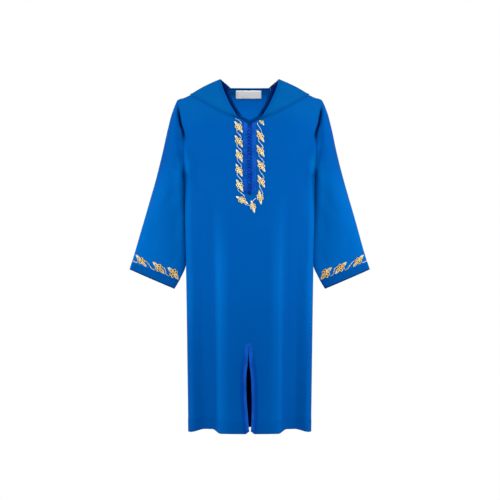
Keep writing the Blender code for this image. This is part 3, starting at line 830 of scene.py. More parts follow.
# Painted shadow in the tuck along the upper armhole.
def armhole_shadow(off, z, on_sleeve):
    return tuck(off, z, 2.1, on_sleeve)


def shoulder_lift(x, z):
    return Vector((0, 0, SHOULDER_LIFT * bell((abs(x) - SHOULDER_CORNER_X) / 8) * ramp(z, -80, -30)))


def neck_dip(x, off, inwards):
    """How the cloth goes in along the seam between the hood and the body."""
    ends = ramp(abs(x), NECK_END_X, NECK_END_X - 12)
    depth = ends * (0.3 * bell(off / SEAM_WIDTH) + 3.0 * bell(off / 9))
    return Vector((0, inwards * depth * 0.8, -depth * 0.5))


def seam_shade(x, off):
    """How dark the cloth is beside the seam between the hood and the body, off millimetres away."""
    return bell(off / 6.5) * ramp(abs(x), NECK_END_X, NECK_END_X - 20) * ramp(abs(x), 22, 42)


def dress_panel(mesh, folds, neck, creases, inwards):
    """Presses a body panel's creases, seams and hem into it. Inwards is 1 on the front and -1 on the back."""

    def press(vertex):
        x, _, z = vertex.co
        to_side = edge_x(z) - abs(x)
        to_top = (top_z(neck, x) - z) * 0.85
        free = smooth(min(to_side, to_top) / 14)
        depth = (creased(creases, x, z) + UNEVENNESS * drift(vertex.co, 60, inwards)) * free
        depth -= HEM_PROUD * smooth((hem_z(folds, x) + HEM_DEEP - z) / 4)
        move = vertex.normal * -depth
        fill = ramp(z, UNDERARM_Z + 40, UNDERARM_Z) * ramp(z, -470, -370)
        move.y -= inwards * SIDE_FILL * bell((to_side - 9) / 8) * fill
        if z > UNDERARM_Z:
            move.y += inwards * armhole_dip(to_side, z, False)
        else:
            dip = SEAM_DIP * bell(to_side / SEAM_WIDTH) * ramp(z, SLEEVE_LEAVES_Z, SLEEVE_LEAVES_Z - 12)
            out = SLEEVE_PRESS * 0.4 * bell(to_side / 5) * ramp(z, SLEEVE_LEAVES_Z - 20, SLEEVE_LEAVES_Z + 40)
            move.x += math.copysign(out - dip, x)
        shoulder = ramp(abs(x), NECK_END_X - 12, NECK_END_X)
        shoulder *= ramp(abs(x), SHOULDER_TIP_X, SHOULDER_TIP_X - 10)
        move.z -= SEAM_DIP * bell(to_top / SEAM_WIDTH) * shoulder
        return move + neck_dip(x, to_top, inwards) + shoulder_lift(x, z)

    moved(mesh, press)


# ---------------------------------------------------------------- the robe's cloth

# How much painted highlight the body's cloth has beside the sleeve, in its shade, where 1 is as light as
# cloth gets.
BESIDE_SLEEVE = Table(
    "z light",
    *((-400, 0.1), (-356, 0.35), (-263, 0.5), (-229, 0.75), (-200, 1.0)),
    *((-178, 0.85), (-156, 0.35), (-136, 0.0)),
)
EDGE_PAINTED_HIGHLIGHT = 0.34  # painted highlight on the edges of the skirt
RIDGE_PAINTED_HIGHLIGHT = {-1: 0.37, 1: 0.24}  # painted highlight on the ridge beside each front fold
# Painted highlight over the lower part of each sleeve.
SLEEVE_PAINTED_HIGHLIGHT = 0.3
SLEEVE_INNER_PAINTED_HIGHLIGHT = 0.45  # painted highlight where a sleeve turns towards the body, in its shade
CUFF_EDGE = (10.35, 10.6)  # the rings between which the turned-up cuff begins
CUFF_LINING = (11.78, 11.88)  # the rings where its lower edge turns in
CUFF_PITCH = 14.0  # from ring to ring, for the last two rings
ARM_PITCH = 24.0  # and above them


def hem_share(folds, point):
    """1 on the hem and 0 above it."""
    return smooth((hem_z(folds, point.x) + HEM_DEEP + 2 - point.z) / 4)


def off_slit(point):
    """How far a point lies from the edge of the slit."""
    return abs(point.x - MIDDLE(point.z, "x")) - MIDDLE(point.z, "half_gap")


def front_painted_highlight(point):
    """Painted highlight on the rounded edges where the skirt turns back, at its sides and into its folds, and
    beside the sleeve.
    """
    x, _, z = point
    share = abs(x) / BODY(z, "half_width")
    edge = EDGE_PAINTED_HIGHLIGHT * ramp(share, 0.84, 1.0) * ramp(z, UNDERARM_Z + 40, UNDERARM_Z - 20)
    edge *= 1 - 0.7 * ramp(z, -480, -630)
    ridge = 0.0
    for fold in FRONT_FOLDS:
        if fold["side"] * x > 0:
            off = share - fold["start_hem"]
            ridge = RIDGE_PAINTED_HIGHLIGHT[fold["side"]] * ramp(z, fold["top_z"], fold["top_z"] - 230)
            ridge *= ramp(off, -0.17, 0.02) * ramp(off, 0.10, 0.03)
    return max(edge, ridge, BESIDE_SLEEVE(z) * bell((edge_x(z) - abs(x)) / 13))


def front_shade(point):
    """Painted shade on the lower skirt, where less light reaches, and in the valley of the hood's seam; the
    hem is a little darker too.
    """
    low = ramp(point.z, -400, -670) * (0.24 + 0.2 * bell(point.x / 55))
    seam = seam_shade(point.x, top_z(FRONT_NECK, point.x) - point.z)
    return min(0.16 * hem_share(FRONT_FOLDS, point) + low + 0.4 * seam, 1.0)


def slit_facing(point):
    """A darker strip beside the slit."""
    off = off_slit(point)
    return 0.8 * ramp(off, 8.2, 9.7) * ramp(off, 16.5, 12.5) * ramp(point.z, -610, -650)


def armhole_painted_shadow(point):
    return armhole_shadow(edge_x(point.z) - abs(point.x), point.z, False) if point.z > UNDERARM_Z else 0.0


def front_cloth(blue):
    mesh = bmesh.new()

    def place(column, row):
        side = -1 if column < FRONT_COLUMNS else 1
        left = column if side < 0 else 2 * FRONT_COLUMNS - 1 - column
        return front_point(side, 1 - (left / (FRONT_COLUMNS - 1)) ** 1.25, row / (FRONT_ROWS - 1))

    cells = grid(mesh, 2 * FRONT_COLUMNS, FRONT_ROWS, place)
    middle = {FRONT_COLUMNS - 1, FRONT_COLUMNS}
    gone = [f for f in mesh.faces if {cells[v][0] for v in f.verts} == middle]
    bmesh.ops.delete(mesh, geom=gone, context="FACES")
    closed(mesh, forwards)
    dress_panel(mesh, FRONT_FOLDS, FRONT_NECK, FRONT_CREASES, 1)
    marked(mesh, "facing", slit_facing)
    marked(mesh, "painted_highlight", front_painted_highlight)
    marked(mesh, "painted_shadow", armhole_painted_shadow)
    marked(mesh, "painted_shade_and_tone", front_shade)
    # A greener, less blue tone towards the top.
    marked(mesh, "teal_tone", lambda point: 0.4 * ramp(point.z, -100, -40))
    tree = BVHTree.FromBMesh(mesh)
    piece = finished("front_cloth", mesh, blue, ["front"], CLOTH)
    return tree


def back_painted_shade_inside(point):
    """Painted shade on the inner side: inside the skirt, under the neck's seam and behind the gap of the
    button band.
    """
    gap = bell(point.x / 3.5) * ramp(point.z, -110, -180)
    seam = 0.85 * ramp(top_z(BACK_NECK, point.x) - point.z, 3.4, 1.9)
    return max(ramp(point.z, -520, -580), seam, gap)


def back_cloth(blue):
    mesh = bmesh.new()

    def place(column, row):
        return back_point(2 * column / (BACK_COLUMNS - 1) - 1, row / (BACK_ROWS - 1))

    grid(mesh, BACK_COLUMNS, BACK_ROWS, place)
    closed(mesh, lambda point: -forwards(point))
    dress_panel(mesh, BACK_FOLDS, BACK_NECK, BACK_CREASES, -1)
    # A little darker on the hem.
    marked(mesh, "painted_shade_and_tone", lambda point: 0.18 * hem_share(BACK_FOLDS, point))
    # Painted light on the inner side of the back below the neck, which lies in shade.
    marked(mesh, "painted_light_inside", lambda point: ramp(abs(point.x), 92, 62) * ramp(point.z, -150, -110))
    # A greener, less blue tone towards the top.
    marked(mesh, "teal_tone", lambda point: 0.5 * ramp(point.z, -100, -40))
    marked(mesh, "painted_shade_inside", back_painted_shade_inside)
    tree = BVHTree.FromBMesh(mesh)
    piece = finished("back_cloth", mesh, blue, ["back"], CLOTH)
    return tree


def sleeve_cloth(side, name, blue):
    mesh = bmesh.new()

    def place(column, row):
        return sleeve_point(side, row / SLEEVE_STEPS, column % SLEEVE_COLUMNS / SLEEVE_COLUMNS)

    cells = grid(mesh, SLEEVE_COLUMNS + 1, CUFF_RING * SLEEVE_STEPS + 1, place)
    spots = {spot(vertex): cell for vertex, cell in cells.items()}
    closed(mesh, lambda point: point - Vector((side * 195, 8, min(point.z, -100))))
    painted_shade_and_tone, painted_shadow, painted_highlight = marks(mesh, "painted_shade_and_tone", "painted_shadow", "painted_highlight")

    def press(vertex):
        column, row = spots[spot(vertex)]
        ring, turn = row / SLEEVE_STEPS, column / SLEEVE_COLUMNS
        half = -1 if turn < 0.5 else 1
        x, _, z = vertex.co
        from_inner = math.sin(math.pi * turn)
        from_seam = abs(x) - ARMHOLE(z)
        from_body = abs(x) - SLEEVE(max(ring, 1), "inner_x")
        near = ramp(from_body, 38, 0) * ramp(z, -148, -198) * ramp(ring, 9.5, 7.5)
        # Painted highlight on the lower sleeve and where it turns towards the body.
        vertex[painted_highlight] = SLEEVE_PAINTED_HIGHLIGHT * ramp(z, -150, -260) + SLEEVE_INNER_PAINTED_HIGHLIGHT * near
        # Painted shadow in the armhole's tuck, and inside the cuff where its lower edge turns in.
        vertex[painted_shadow] = armhole_shadow(from_seam, z, True) * (half < 0) + 0.8 * ramp(ring, *CUFF_LINING)
        # The turned-up cuff is darker.
        vertex[painted_shade_and_tone] = 0.5 * ramp(ring, *CUFF_EDGE)
        free = ramp(ring, 0.3, 1.5) * ramp(ring, CUFF_RING, CUFF_RING - 1.5)
        depth = creased(SLEEVE_CREASES[side, half], x, z) * abs(math.sin(2 * math.pi * turn)) ** 0.5 * free
        depth += UNEVENNESS * drift(vertex.co, 55, 7 * side) * free
        depth -= 0.5 * ramp(ring, *CUFF_EDGE)
        move = vertex.normal * -depth + shoulder_lift(x, z)
        move.x -= side * SLEEVE_PRESS * ramp(ring, 1, 1.8) * ramp(ring, 8.4, 7.2) * bell(from_inner / 0.3)
        move.y += half * SIDE_FILL * bell((from_inner - 0.33) / 0.2) * ramp(ring, 1.5, 3.5) * ramp(ring, 9, 6)
        move.y -= half * armhole_dip(from_seam, z, True) * ramp(ring, 3.4, 1.9)
        return move

    moved(mesh, press)
    tree = BVHTree.FromBMesh(mesh)
    piece = finished("sleeve_cloth_" + name, mesh, blue, ["sleeve_" + name], CLOTH)
    return tree


def split(values, count):
    """The same values with count even steps between each two."""
    return [a + (b - a) * i / count for a, b in zip(values, values[1:]) for i in range(count)] + [values[-1]]


def hood_cloth(side, name, blue):
    mesh = bmesh.new()
    lines, steps = split(HOOD_LINES, HOOD_STEPS_ACROSS), split(HOOD_STEPS, HOOD_STEPS_ALONG)

    def place(column, row):
        return hood_point(side, lines[column], steps[row])

    cells = grid(mesh, len(lines), len(steps), place)
    spots = {spot(vertex): cell for vertex, cell in cells.items()}
    closed(mesh, lambda point: forwards(point) if point.y < -20 else Vector())
    hem, dark, teal_tone = marks(mesh, "painted_shade_and_tone", "painted_shade_inside", "teal_tone")

    def press(vertex):
        column, row = spots[spot(vertex)]
        line, step = lines[column], steps[row]
        seam = (vertex.co - hood_point(side, line, 0)).length
        edge = (vertex.co - hood_point(side, line, 1)).length
        # Painted shade on the hood's inner side.
        vertex[dark] = ramp(line, 3, 3.5) * ramp(line, 7.5, 6) * ramp(step, 0.45, 0.65)
        # Painted shade along the hood's free edge and beside its seam.
        vertex[hem] = 0.2 * ramp(edge, 12, 9) + 0.4 * (line < 4) * seam_shade(vertex.co.x, seam)
        # A greener, less blue tone all over the hood.
        vertex[teal_tone] = 0.6
        free = smooth(seam / 12) * smooth(edge / 10) * ramp(line, 9, 8.6)
        move = vertex.normal * (-0.8 * drift(vertex.co, 45, 3 * side) * free)
        if line < 4:
            move += neck_dip(HOOD(line, "seam_x"), seam, 1)
        if line > 8:
            move.y -= SEAM_DIP * bell(vertex.co.x / SEAM_WIDTH) * ramp(step, LIP_END, LIP_END + 0.2)
        return move

    moved(mesh, press)
    tree = BVHTree.FromBMesh(mesh)
    piece = finished("hood_cloth_" + name, mesh, blue, ["hood_" + name], CLOTH)
    return tree


# Rows of the facing behind the neck's edge: how far it goes inwards and back, and how much painted shade it
# carries.
NECK_FACING = (
    (0, 0, 1.0),
    (1.5, 1.5, 1.0),
    (3.3, 4, 0.95),
    (5.4, 7, 0.85),
    (8.2, 14, 0.66),
    (9.8, 22, 0.5),
)
FACING_TOP_Z = 29.5
FACING_LINE = 3.9  # the hood's line at which it begins
FACING_STEPS, TIP_STEPS = 40, 14  # along the hood's edge, and from there to the tip of the V


def neck_facing(side, name, blue):
    """The strip that is turned in behind the neck's edge, from the hood's side down to the tip of the V, with
    painted shade on it.
    """
    edge = [hood_point(side, FACING_LINE * (1 - i / FACING_STEPS), 1) for i in range(FACING_STEPS + 1)]
    xs = [HOOD(0, "seam_x") * (1 - i / TIP_STEPS) for i in range(1, TIP_STEPS + 1)]
    edge += [Vector((side * x, front_y(x, FRONT_NECK(x)), FRONT_NECK(x))) for x in xs]
    mesh = bmesh.new()

    def place(column, row):
        inwards, back, _ = NECK_FACING[row]
        before, after = edge[max(column - 1, 0)], edge[min(column + 1, len(edge) - 1)]
        run = (after - before).normalized()
        away = Vector((-side * abs(run.z), 0, abs(run.x))).normalized()
        wide = min(1.4 - 0.4 * ramp(column, 12, 26), max(FACING_TOP_Z - edge[column].z, 0.0) * 0.07)
        point = edge[column] + away * (inwards * wide) + Vector((0, 0.5 + back, -0.4))
        point.x = side * max(side * point.x, 0.2)
        return point

    (painted_shadow,) = marks(mesh, "painted_shadow")
    for vertex, (column, row) in grid(mesh, len(edge), len(NECK_FACING), place).items():
        dark = max(NECK_FACING[row][2], 0.9 * ramp(column, 18, 10))
        vertex[painted_shadow] = dark * (1 - 0.35 * ramp(column, 36, 42))
    closed(mesh, lambda point: Vector((-side, -1, 0.5)))
    piece = finished("neck_facing_" + name, mesh, blue, ["hood_" + name], 0.5)


# ---------------------------------------------------------------- laying trims on cloth


def on_front(tree):
    """Finds the front's cloth at x and z, and carries it on past an edge."""

    def find(x, z):
        foot, normal, _, _ = tree.ray_cast(Vector((x, -500, z)), Vector((0, 1, 0)))
        if foot is None:
            foot, normal, _, _ = tree.find_nearest(Vector((x, front_y(x, z), z)))
            foot = Vector((x, foot.y, z))
        return foot, normal

    return find


def cuff_ring(up):
    """The ring of a sleeve that lies so far above the cuff's edge."""
    below = min(up, 2 * CUFF_PITCH)
    return CUFF_RING - below / CUFF_PITCH - (up - below) / ARM_PITCH


def round_cuff(side, tree):
    """Finds a sleeve's cloth by the way round it and the height above its edge; and how far round it is."""
    count = 240
    walk = [sleeve_point(side, CUFF_RING - 2, i / count) for i in range(count + 1)]
    reached = [0.0]
    for a, b in zip(walk, walk[1:]):
        reached.append(reached[-1] + (b - a).length)
    around = reached[-1]

    def find(along, up):
        along %= around
        i = max(j for j, length in enumerate(reached[:-1]) if length <= along)
        turn = (i + (along - reached[i]) / (reached[i + 1] - reached[i])) / count
        return tree.find_nearest(sleeve_point(side, cuff_ring(up), turn))[:2]

    return find, around


def on_cloth(find, x, y, height):
    foot, normal = find(x, y)
    return foot + normal * height


def tube(mesh, path, radius, sides=6, flat=1.0):
    """Adds a cord along a path of (point, up) pairs, round or flattened."""
    last = len(path) - 1

    def place(i, j):
        point, up = path[i]
        run = (path[min(i + 1, last)][0] - path[max(i - 1, 0)][0]).normalized()
        across = run.cross(up).normalized()
        angle = 2 * math.pi * (j % sides) / sides
        slim = radius * (0.35 if i in (0, last) else 1.0)
        return point + (across * math.cos(angle) + across.cross(run) * (math.sin(angle) * flat)) * slim

    cells = grid(mesh, last + 1, sides + 1, place)
    ends = [[v for v, (i, j) in cells.items() if i == end and j < sides] for end in (0, last)]
    bmesh.ops.remove_doubles(mesh, verts=list(cells), dist=0.0005)
    for end in ends:
        live = sorted((v for v in end if v.is_valid), key=lambda v: cells[v][1])
        if len(live) == sides:
            mesh.faces.new(live)


def turned_out(mesh):
    """Turns the faces of closed cords outwards."""
    bmesh.ops.recalc_face_normals(mesh, faces=mesh.faces)
    return mesh


def curve(points, steps):
    """A smooth line through four control points."""
    a, b, c, d = (Vector(p) for p in points)
    return [
        a * (1 - t) ** 3 + b * (3 * t * (1 - t) ** 2) + c * (3 * t**2 * (1 - t)) + d * t**3
        for t in (i / steps for i in range(steps + 1))
    ]


# ---------------------------------------------------------------- embroidery

# Petals: direction from the long leaf, distance from the middle, size. Leaves: direction, reach, width.
PETALS = ((50, 5.2, 3.5), (122, 4.9, 3.3), (232, 5.2, 3.5), (303, 4.9, 3.3))
LEAVES = ((0, 17.3, 6.0), (180, 16.8, 5.6))
# Rings of a petal from its eyelet out: share of its size, height, how much painted shade it has in the eyelet
# and at the edge, and how much painted highlight as a rim.
PETAL_RINGS = (
    (0.0, 0.2, 1.0, 0.0),
    (0.42, 0.2, 1.0, 0.0),
    (0.52, 0.8, 0.3, 0.0),
    (0.66, 1.0, 0.0, 0.8),
    (0.80, 0.95, 0.0, 1.0),
    (0.90, 0.6, 0.1, 0.8),
    (1.0, 0.05, 0.8, 0.0),
)
EMBROIDERY = 1.5  # how high it stands
PETAL_SIDES = 16
HEART = 2.4  # size of the petal in the middle
LEAF_STEPS = 9
LEAF_START = 1.5  # how far from the middle a leaf begins
LEAF_ACROSS = (-1.0, -0.75, -0.4, -0.12, 0.12, 0.4, 0.75, 1.0)
LEAF_VEIN = (3, 4)  # the rows on both sides of its vein


class Motif:
    """Works round petals and pointed leaves into one mesh of gold thread; facing(point) is its outer side."""

    def __init__(self, find, facing):
        self.find, self.facing = find, facing
        self.mesh = bmesh.new()
        self.hollow, self.rim = marks(self.mesh, "hollow", "rim")

    def petal(self, x, y, size, height):
        def place(column, row):
            share, rise, _, _ = PETAL_RINGS[row]
            angle = 2 * math.pi * (column % PETAL_SIDES) / PETAL_SIDES
            a, b = x + size * share * math.cos(angle), y + size * share * math.sin(angle)
            return on_cloth(self.find, a, b, height * rise)

        for vertex, (_, row) in grid(self.mesh, PETAL_SIDES + 1, len(PETAL_RINGS), place).items():
            vertex[self.hollow], vertex[self.rim] = PETAL_RINGS[row][2:]

    def leaf(self, x, y, lean, reach, width, height):
        cos, sin = math.cos(lean), math.sin(lean)

        def place(column, row):
            along, across = column / LEAF_STEPS, LEAF_ACROSS[row]
            wide = width / 2 * (math.sin(math.pi * along**0.75) ** 0.8 + 0.06 * (1 - along))
            out, off = LEAF_START + (reach - LEAF_START) * along, wide * across
            rise = math.sqrt(max(1 - across**2, 0.0)) * (1 - 0.3 * bell(across / 0.2))
            rise *= 0.35 + 0.65 * math.sin(math.pi * min(along + 0.1, 1.0)) ** 0.6
            a, b = x + out * cos - off * sin, y + out * sin + off * cos
            return on_cloth(self.find, a, b, height * rise + 0.05)

        for vertex, (column, row) in grid(self.mesh, LEAF_STEPS + 1, len(LEAF_ACROSS), place).items():
            along = column / LEAF_STEPS
            # Painted highlight towards the leaf's tip, painted shade along its vein.
            vertex[self.rim] = 0.8 * along
            vertex[self.hollow] = 0.8 * (row in LEAF_VEIN and 0.3 < along < 0.6)

    def flower(self, x, y, lean, size=1.0, half=False, slim=1.0):
        """One flower; half leaves out what would lie under the hood, and slim draws its petals in."""
        for angle, reach, width in LEAVES:
            if not (half and 90 < angle < 230):
                self.leaf(x, y, math.radians(lean + angle), reach * size, width * size, EMBROIDERY * 0.8)
        for angle, out, radius in PETALS:
            if not (half and 90 < angle < 230):
                a, away = math.radians(lean + angle), out * size * slim
                self.petal(x + away * math.cos(a), y + away * math.sin(a), radius * size * slim, EMBROIDERY)
        self.petal(x, y, HEART * size, EMBROIDERY * 1.1)

    def done(self):
        bmesh.ops.remove_doubles(self.mesh, verts=self.mesh.verts, dist=0.002)
        bmesh.ops.dissolve_degenerate(self.mesh, edges=self.mesh.edges, dist=0.001)
        self.mesh.normal_update()
        flipped = [f for f in self.mesh.faces if f.normal.dot(self.facing(f.calc_center_median())) < 0]
        bmesh.ops.reverse_faces(self.mesh, faces=flipped)
        return self.mesh


# The flowers of the neck's vine: x, z and lean, the direction in degrees that the long leaf points in.
LEFT_FLOWERS = (
    (-26.0, -91.5, -55),
    (-25.6, -125.0, -57),
    (-24.4, -158.5, -64),
    (-24.8, -192.6, -63),
    (-23.4, -228.5, -61),
    (-18.0, -262.4, -32),
)
RIGHT_FLOWERS = (
    (24.8, -113.0, -59),
    (25.0, -147.5, -57),
    (27.0, -182.5, -57),
    (27.0, -218.5, -61),
    (24.2, -256.0, -82),
)
BOTTOM_FLOWER = (7.4, -277.5, -74)
TOP_FLOWER = (27.5, -78.5, -58)  # the one that runs out under the hood's seam
# The stems at the vine's ends, each by the four control points of its curve.
END_STEMS = (
    ((-33.5, -70.5), (-31, -76), (-20, -74), (-19.5, -86)),
    ((18.5, -80), (15.5, -90), (29, -94), (27.5, -105)),
    ((-14, -267), (-10, -275), (-5, -275), (0, -274)),
    ((5.4, -271), (6.5, -264), (11, -260), (16, -258)),
)
# The stems from one flower to the next: two control points off the middle of the first and two off the next.
NECK_STEM = ((-4.5, -7.5), (-5.0, -16.5), (7.5, 14.5), (6.0, 5.5))
CUFF_STEM = ((5.6, -8.6), (20.9, -10.5), (-18, 4.5), (-8.8, 3.4))
STEM_RADIUS = 0.72
STEM_FLAT = 0.85  # how much lower than wide a stem is
CORD_LIFT = 0.75  # from what a stem or a loop lies on to its middle
# The flowers of a cuff's vine: how far each is shifted along the cuff, its height and its lean.
CUFF_FLOWERS = (
    *((1.4, 28.8, 26), (-3.8, 31.4, 29), (-1.8, 35.8, 37)),
    *((1.0, 30.0, 25), (-2.0, 31.0, 27), (0.5, 28.5, 24)),
)
CUFF_FLOWER_SIZE = 1.26
CUFF_FLOWER_SLIM = 0.92
CUFF_STEM_RADIUS = 0.95


def stem(mesh, find, points, radius):
    """An S-shaped stem, laid on the cloth."""
    path = []
    for place in curve([(*point, 0) for point in points], 12):
        foot, normal = find(place.x, place.y)
        path.append((foot + normal * CORD_LIFT, normal))
    tube(mesh, path, radius, flat=STEM_FLAT)


def stems_between(mesh, find, flowers, offsets, radius):
    for first, second in zip(flowers, flowers[1:]):
        near = zip((first, first, second, second), offsets)
        stem(mesh, find, [(x + right, y + up) for (x, y, _), (right, up) in near], radius)


def neck_vine(find, gold, silver):
    motif = Motif(find, lambda point: find(point.x, point.z)[1])
    for flower in LEFT_FLOWERS + RIGHT_FLOWERS:
        motif.flower(*flower)
    motif.flower(*TOP_FLOWER, size=0.66, half=True)
    motif.flower(*BOTTOM_FLOWER, size=0.92)
    finished("neck_embroidery", motif.done(), gold, ["neck_vine"])

    mesh = bmesh.new()
    for column in (LEFT_FLOWERS, RIGHT_FLOWERS):
        stems_between(mesh, find, column, NECK_STEM, STEM_RADIUS)
    for points in END_STEMS:
        stem(mesh, find, points, STEM_RADIUS)
    finished("neck_stems", turned_out(mesh), silver, [])


def cuff_vine(side, name, tree, gold, silver):
    """The vine round a cuff, which runs on over the seam under the arm."""
    find, around = round_cuff(side, tree)
    motif = Motif(find, lambda point: tree.find_nearest(point)[1])
    pitch = around / len(CUFF_FLOWERS)
    first = around / 4 - pitch
    flowers = [(first + pitch * i + shift, up, lean) for i, (shift, up, lean) in enumerate(CUFF_FLOWERS)]
    for flower in flowers:
        motif.flower(*flower, CUFF_FLOWER_SIZE, slim=CUFF_FLOWER_SLIM)
    finished("cuff_embroidery_" + name, motif.done(), gold, ["cuff_vine_" + name])

    mesh = bmesh.new()
    stems_between(mesh, find, flowers, CUFF_STEM, CUFF_STEM_RADIUS)
    finished("cuff_stems_" + name, turned_out(mesh), silver, [])


# ---------------------------------------------------------------- bands, loops, knots and label

TRIM = 1.3  # height of the bands
BAND_LIFT = 0.3  # how far they are raised, so that no cloth shows through
PLACKET_START = 0.2
PLACKET_SIDE = 14.7
PLACKET_POINT = 8.0  # how far the band's end comes to a point
BUTTONS = 19
BUTTON_TOP_Z = -97.2
BUTTON_PITCH = 7.8
BUTTON_X = -1.2
BUTTON_RISE = 4.3  # height of a knot's middle
KNOT_CORD = 0.66
KNOT_REACH = 2.1  # from a knot's middle to its cord
KNOT_CORE = 2.05
KNOT_LEAN = math.radians(52)  # how far its cord climbs and falls
LOOP_CORD = 0.62
LOOP_HALF = 1.15  # half the width of a loop's two legs
LOOP_TURN_X = 2.0
LOOP_START_X = -12.6
SLIT_BAND = 8.4
SLIT_LOW_Z, SLIT_TOP_Z = -803.0, -606.0
LABEL_LEFT, LABEL_BOTTOM = -34.0, -9.3
LABEL_WIDE, LABEL_HIGH = 62.0, 18.4
LABEL_CUT = 24.8  # its length along the leaning back


def band_rise(t):
    """How a band's height runs across it: rolled edges and a slightly padded middle."""
    return TRIM * (0.45 + 0.55 * math.sin(math.pi * min(max(t, 0.0), 1.0)) ** 0.45)


def placket_band(side, name, find, violet):
    columns, rows = 12, 72

    def place(column, row):
        share = column / (columns - 1)
        x = PLACKET_START + (PLACKET_SIDE - PLACKET_START) * share
        top = FRONT_NECK(x) - 0.6
        bottom = PLACKET_END_Z + PLACKET_POINT * x / PLACKET_SIDE
        z = top + (bottom - top) * row / (rows - 1)
        return on_cloth(find, side * x, z, BAND_LIFT + band_rise(share))

    mesh = laid_sheet(columns, rows, place)
    # Painted shadow down the band's inner side, behind the knots.
    marked(mesh, "painted_shadow", lambda point: 0.95 * ramp(abs(point.x + 0.3), 6.4, 3.8))
    piece = finished("placket_band_" + name, mesh, violet, ["placket_" + name], 0.9)


def knot(mesh, centre, up, turned):
    """A knot button: a round ball of interlaced cord."""
    right = Vector((1, 0, 0))
    high = up.cross(right).normalized()
    steps, turns, waves = 66, 3, 4
    path = []
    for i in range(steps + 1):
        angle = 2 * math.pi * turns * i / steps + turned
        lean = KNOT_LEAN * math.sin(angle * waves / turns)
        out = KNOT_REACH + 0.3 * math.cos(2 * angle * waves / turns)
        flat = right * math.cos(angle) + high * math.sin(angle)
        ray = flat * math.cos(lean) + up * math.sin(lean)
        path.append((centre + ray * out, ray))
    tube(mesh, path, KNOT_CORD)
    bmesh.ops.create_icosphere(mesh, subdivisions=2, radius=KNOT_CORE, matrix=Matrix.Translation(centre))


def loop_path(reach):
    """A loop laid flat, by x and how far it is off its middle: along one leg, round its end and back."""
    leg = [reach + (LOOP_TURN_X - reach) * i / 7 for i in range(7)]
    bend = [math.pi * (i / 4 - 0.5) for i in range(5)]
    there = [(x, -LOOP_HALF) for x in leg]
    end = [(LOOP_TURN_X + 1.4 * math.cos(turn), LOOP_HALF * math.sin(turn)) for turn in bend]
    return there + end + [(x, LOOP_HALF) for x in reversed(leg)]


def knots_and_loops(find, navy, loop_cord):
    balls, loops = bmesh.new(), bmesh.new()
    for i in range(BUTTONS):
        z = BUTTON_TOP_Z - BUTTON_PITCH * i
        foot, normal = find(0.0, z)
        knot(balls, Vector((BUTTON_X, foot.y, z)) + normal * BUTTON_RISE, normal, 0.4 * i)
        path = []
        for x, off in loop_path(LOOP_START_X + 0.5 * math.sin(2.3 * i)):
            foot, normal = find(x, z - 2.4 + off)
            path.append((foot + normal * (TRIM + CORD_LIFT), normal))
        tube(loops, path, LOOP_CORD, 5)
    buttons = [f"button_{i + 1:02d}" for i in range(BUTTONS)]
    finished("knot_buttons", turned_out(balls), navy, buttons)
    finished("button_loops", turned_out(loops), loop_cord, [])


def slit_path(count):
    """The slit's edge, up one side, round its top and down the other, and the way out: x, z, out_x, out_z."""
    heights = [SLIT_LOW_Z + (SLIT_TOP_Z - SLIT_LOW_Z) * i / count for i in range(count + 1)]
    left, right = (
        [(MIDDLE(z, "x") + side * MIDDLE(z, "half_gap"), z, side, 0.0) for z in heights] for side in (-1, 1)
    )
    angles = [math.pi * i / 8 for i in range(1, 8)]
    top = [(MIDDLE(SLIT_TOP_Z, "x"), SLIT_TOP_Z, -math.cos(angle), math.sin(angle)) for angle in angles]
    return left + top + right[::-1]


def slit_edging(find, violet):
    path, columns = slit_path(60), 9

    def place(column, row):
        share = column / (columns - 1)
        x, z, out_x, out_z = path[row]
        out = 0.2 + (SLIT_BAND + 0.4) * share
        return on_cloth(find, x + out_x * out, z + out_z * out, BAND_LIFT + band_rise(share) * 0.8)

    def outer_edge(point):
        """Painted shadow along the line where the edging meets the cloth."""
        off = math.hypot(max(off_slit(point), 0.0), max(point.z - SLIT_TOP_Z, 0.0))
        return 0.55 * ramp(off, 4.6, 7.0) * ramp(point.z, -615, -645)

    mesh = laid_sheet(columns, len(path), place)
    marked(mesh, "painted_shadow", outer_edge)
    piece = finished("slit_edging", mesh, violet, ["slit_band"], 0.8)


def neck_label(white, back_tree):
    """A bare woven label, sewn to the inner side of the back at its two ends and flat from top to bottom."""
    columns, rows = 34, 14
    shares = [i / (rows - 1) for i in range(rows)]

    def place(column, row):
        x = LABEL_LEFT + LABEL_WIDE * column / (columns - 1)
        heights = [LABEL_BOTTOM + LABEL_HIGH * share for share in shares]
        behind = [back_tree.ray_cast(Vector((x, -200, z)), Vector((0, 1, 0)))[0].y for z in heights]
        straight = [behind[0] + (behind[-1] - behind[0]) * share for share in shares]
        proud = max(s - b for s, b in zip(straight, behind)) + CLOTH + 0.4
        proud += 0.5 * smooth(min(column, columns - 1 - column) / 3)
        return Vector((x, straight[row] - proud, heights[row]))

    mesh = laid_sheet(columns, rows, place)
    piece = finished("neck_label", mesh, white, ["label"], 0.5)


# ---------------------------------------------------------------- sewing

STITCH = (2.3 / 2, 0.34, 0.26, 1)  # half its length, width and height
STITCH_PITCH = 3.3
HEM_ROWS = (HEM_DEEP, 3.5)  # heights of the hem's two rows of stitches
FRONT_HIGH, BACK_HIGH = 790.0, 815.0  # a panel's height, of which a row's height is a share
SLIT_ROWS = (12.0, 21.0)  # how far they are from the slit
CUFF_ROWS = [2.5 + 3.5 * i for i in range(6)]
HOOD_ROW = 0.935  # how far from the seam to the edge the hood's row of stitches lies


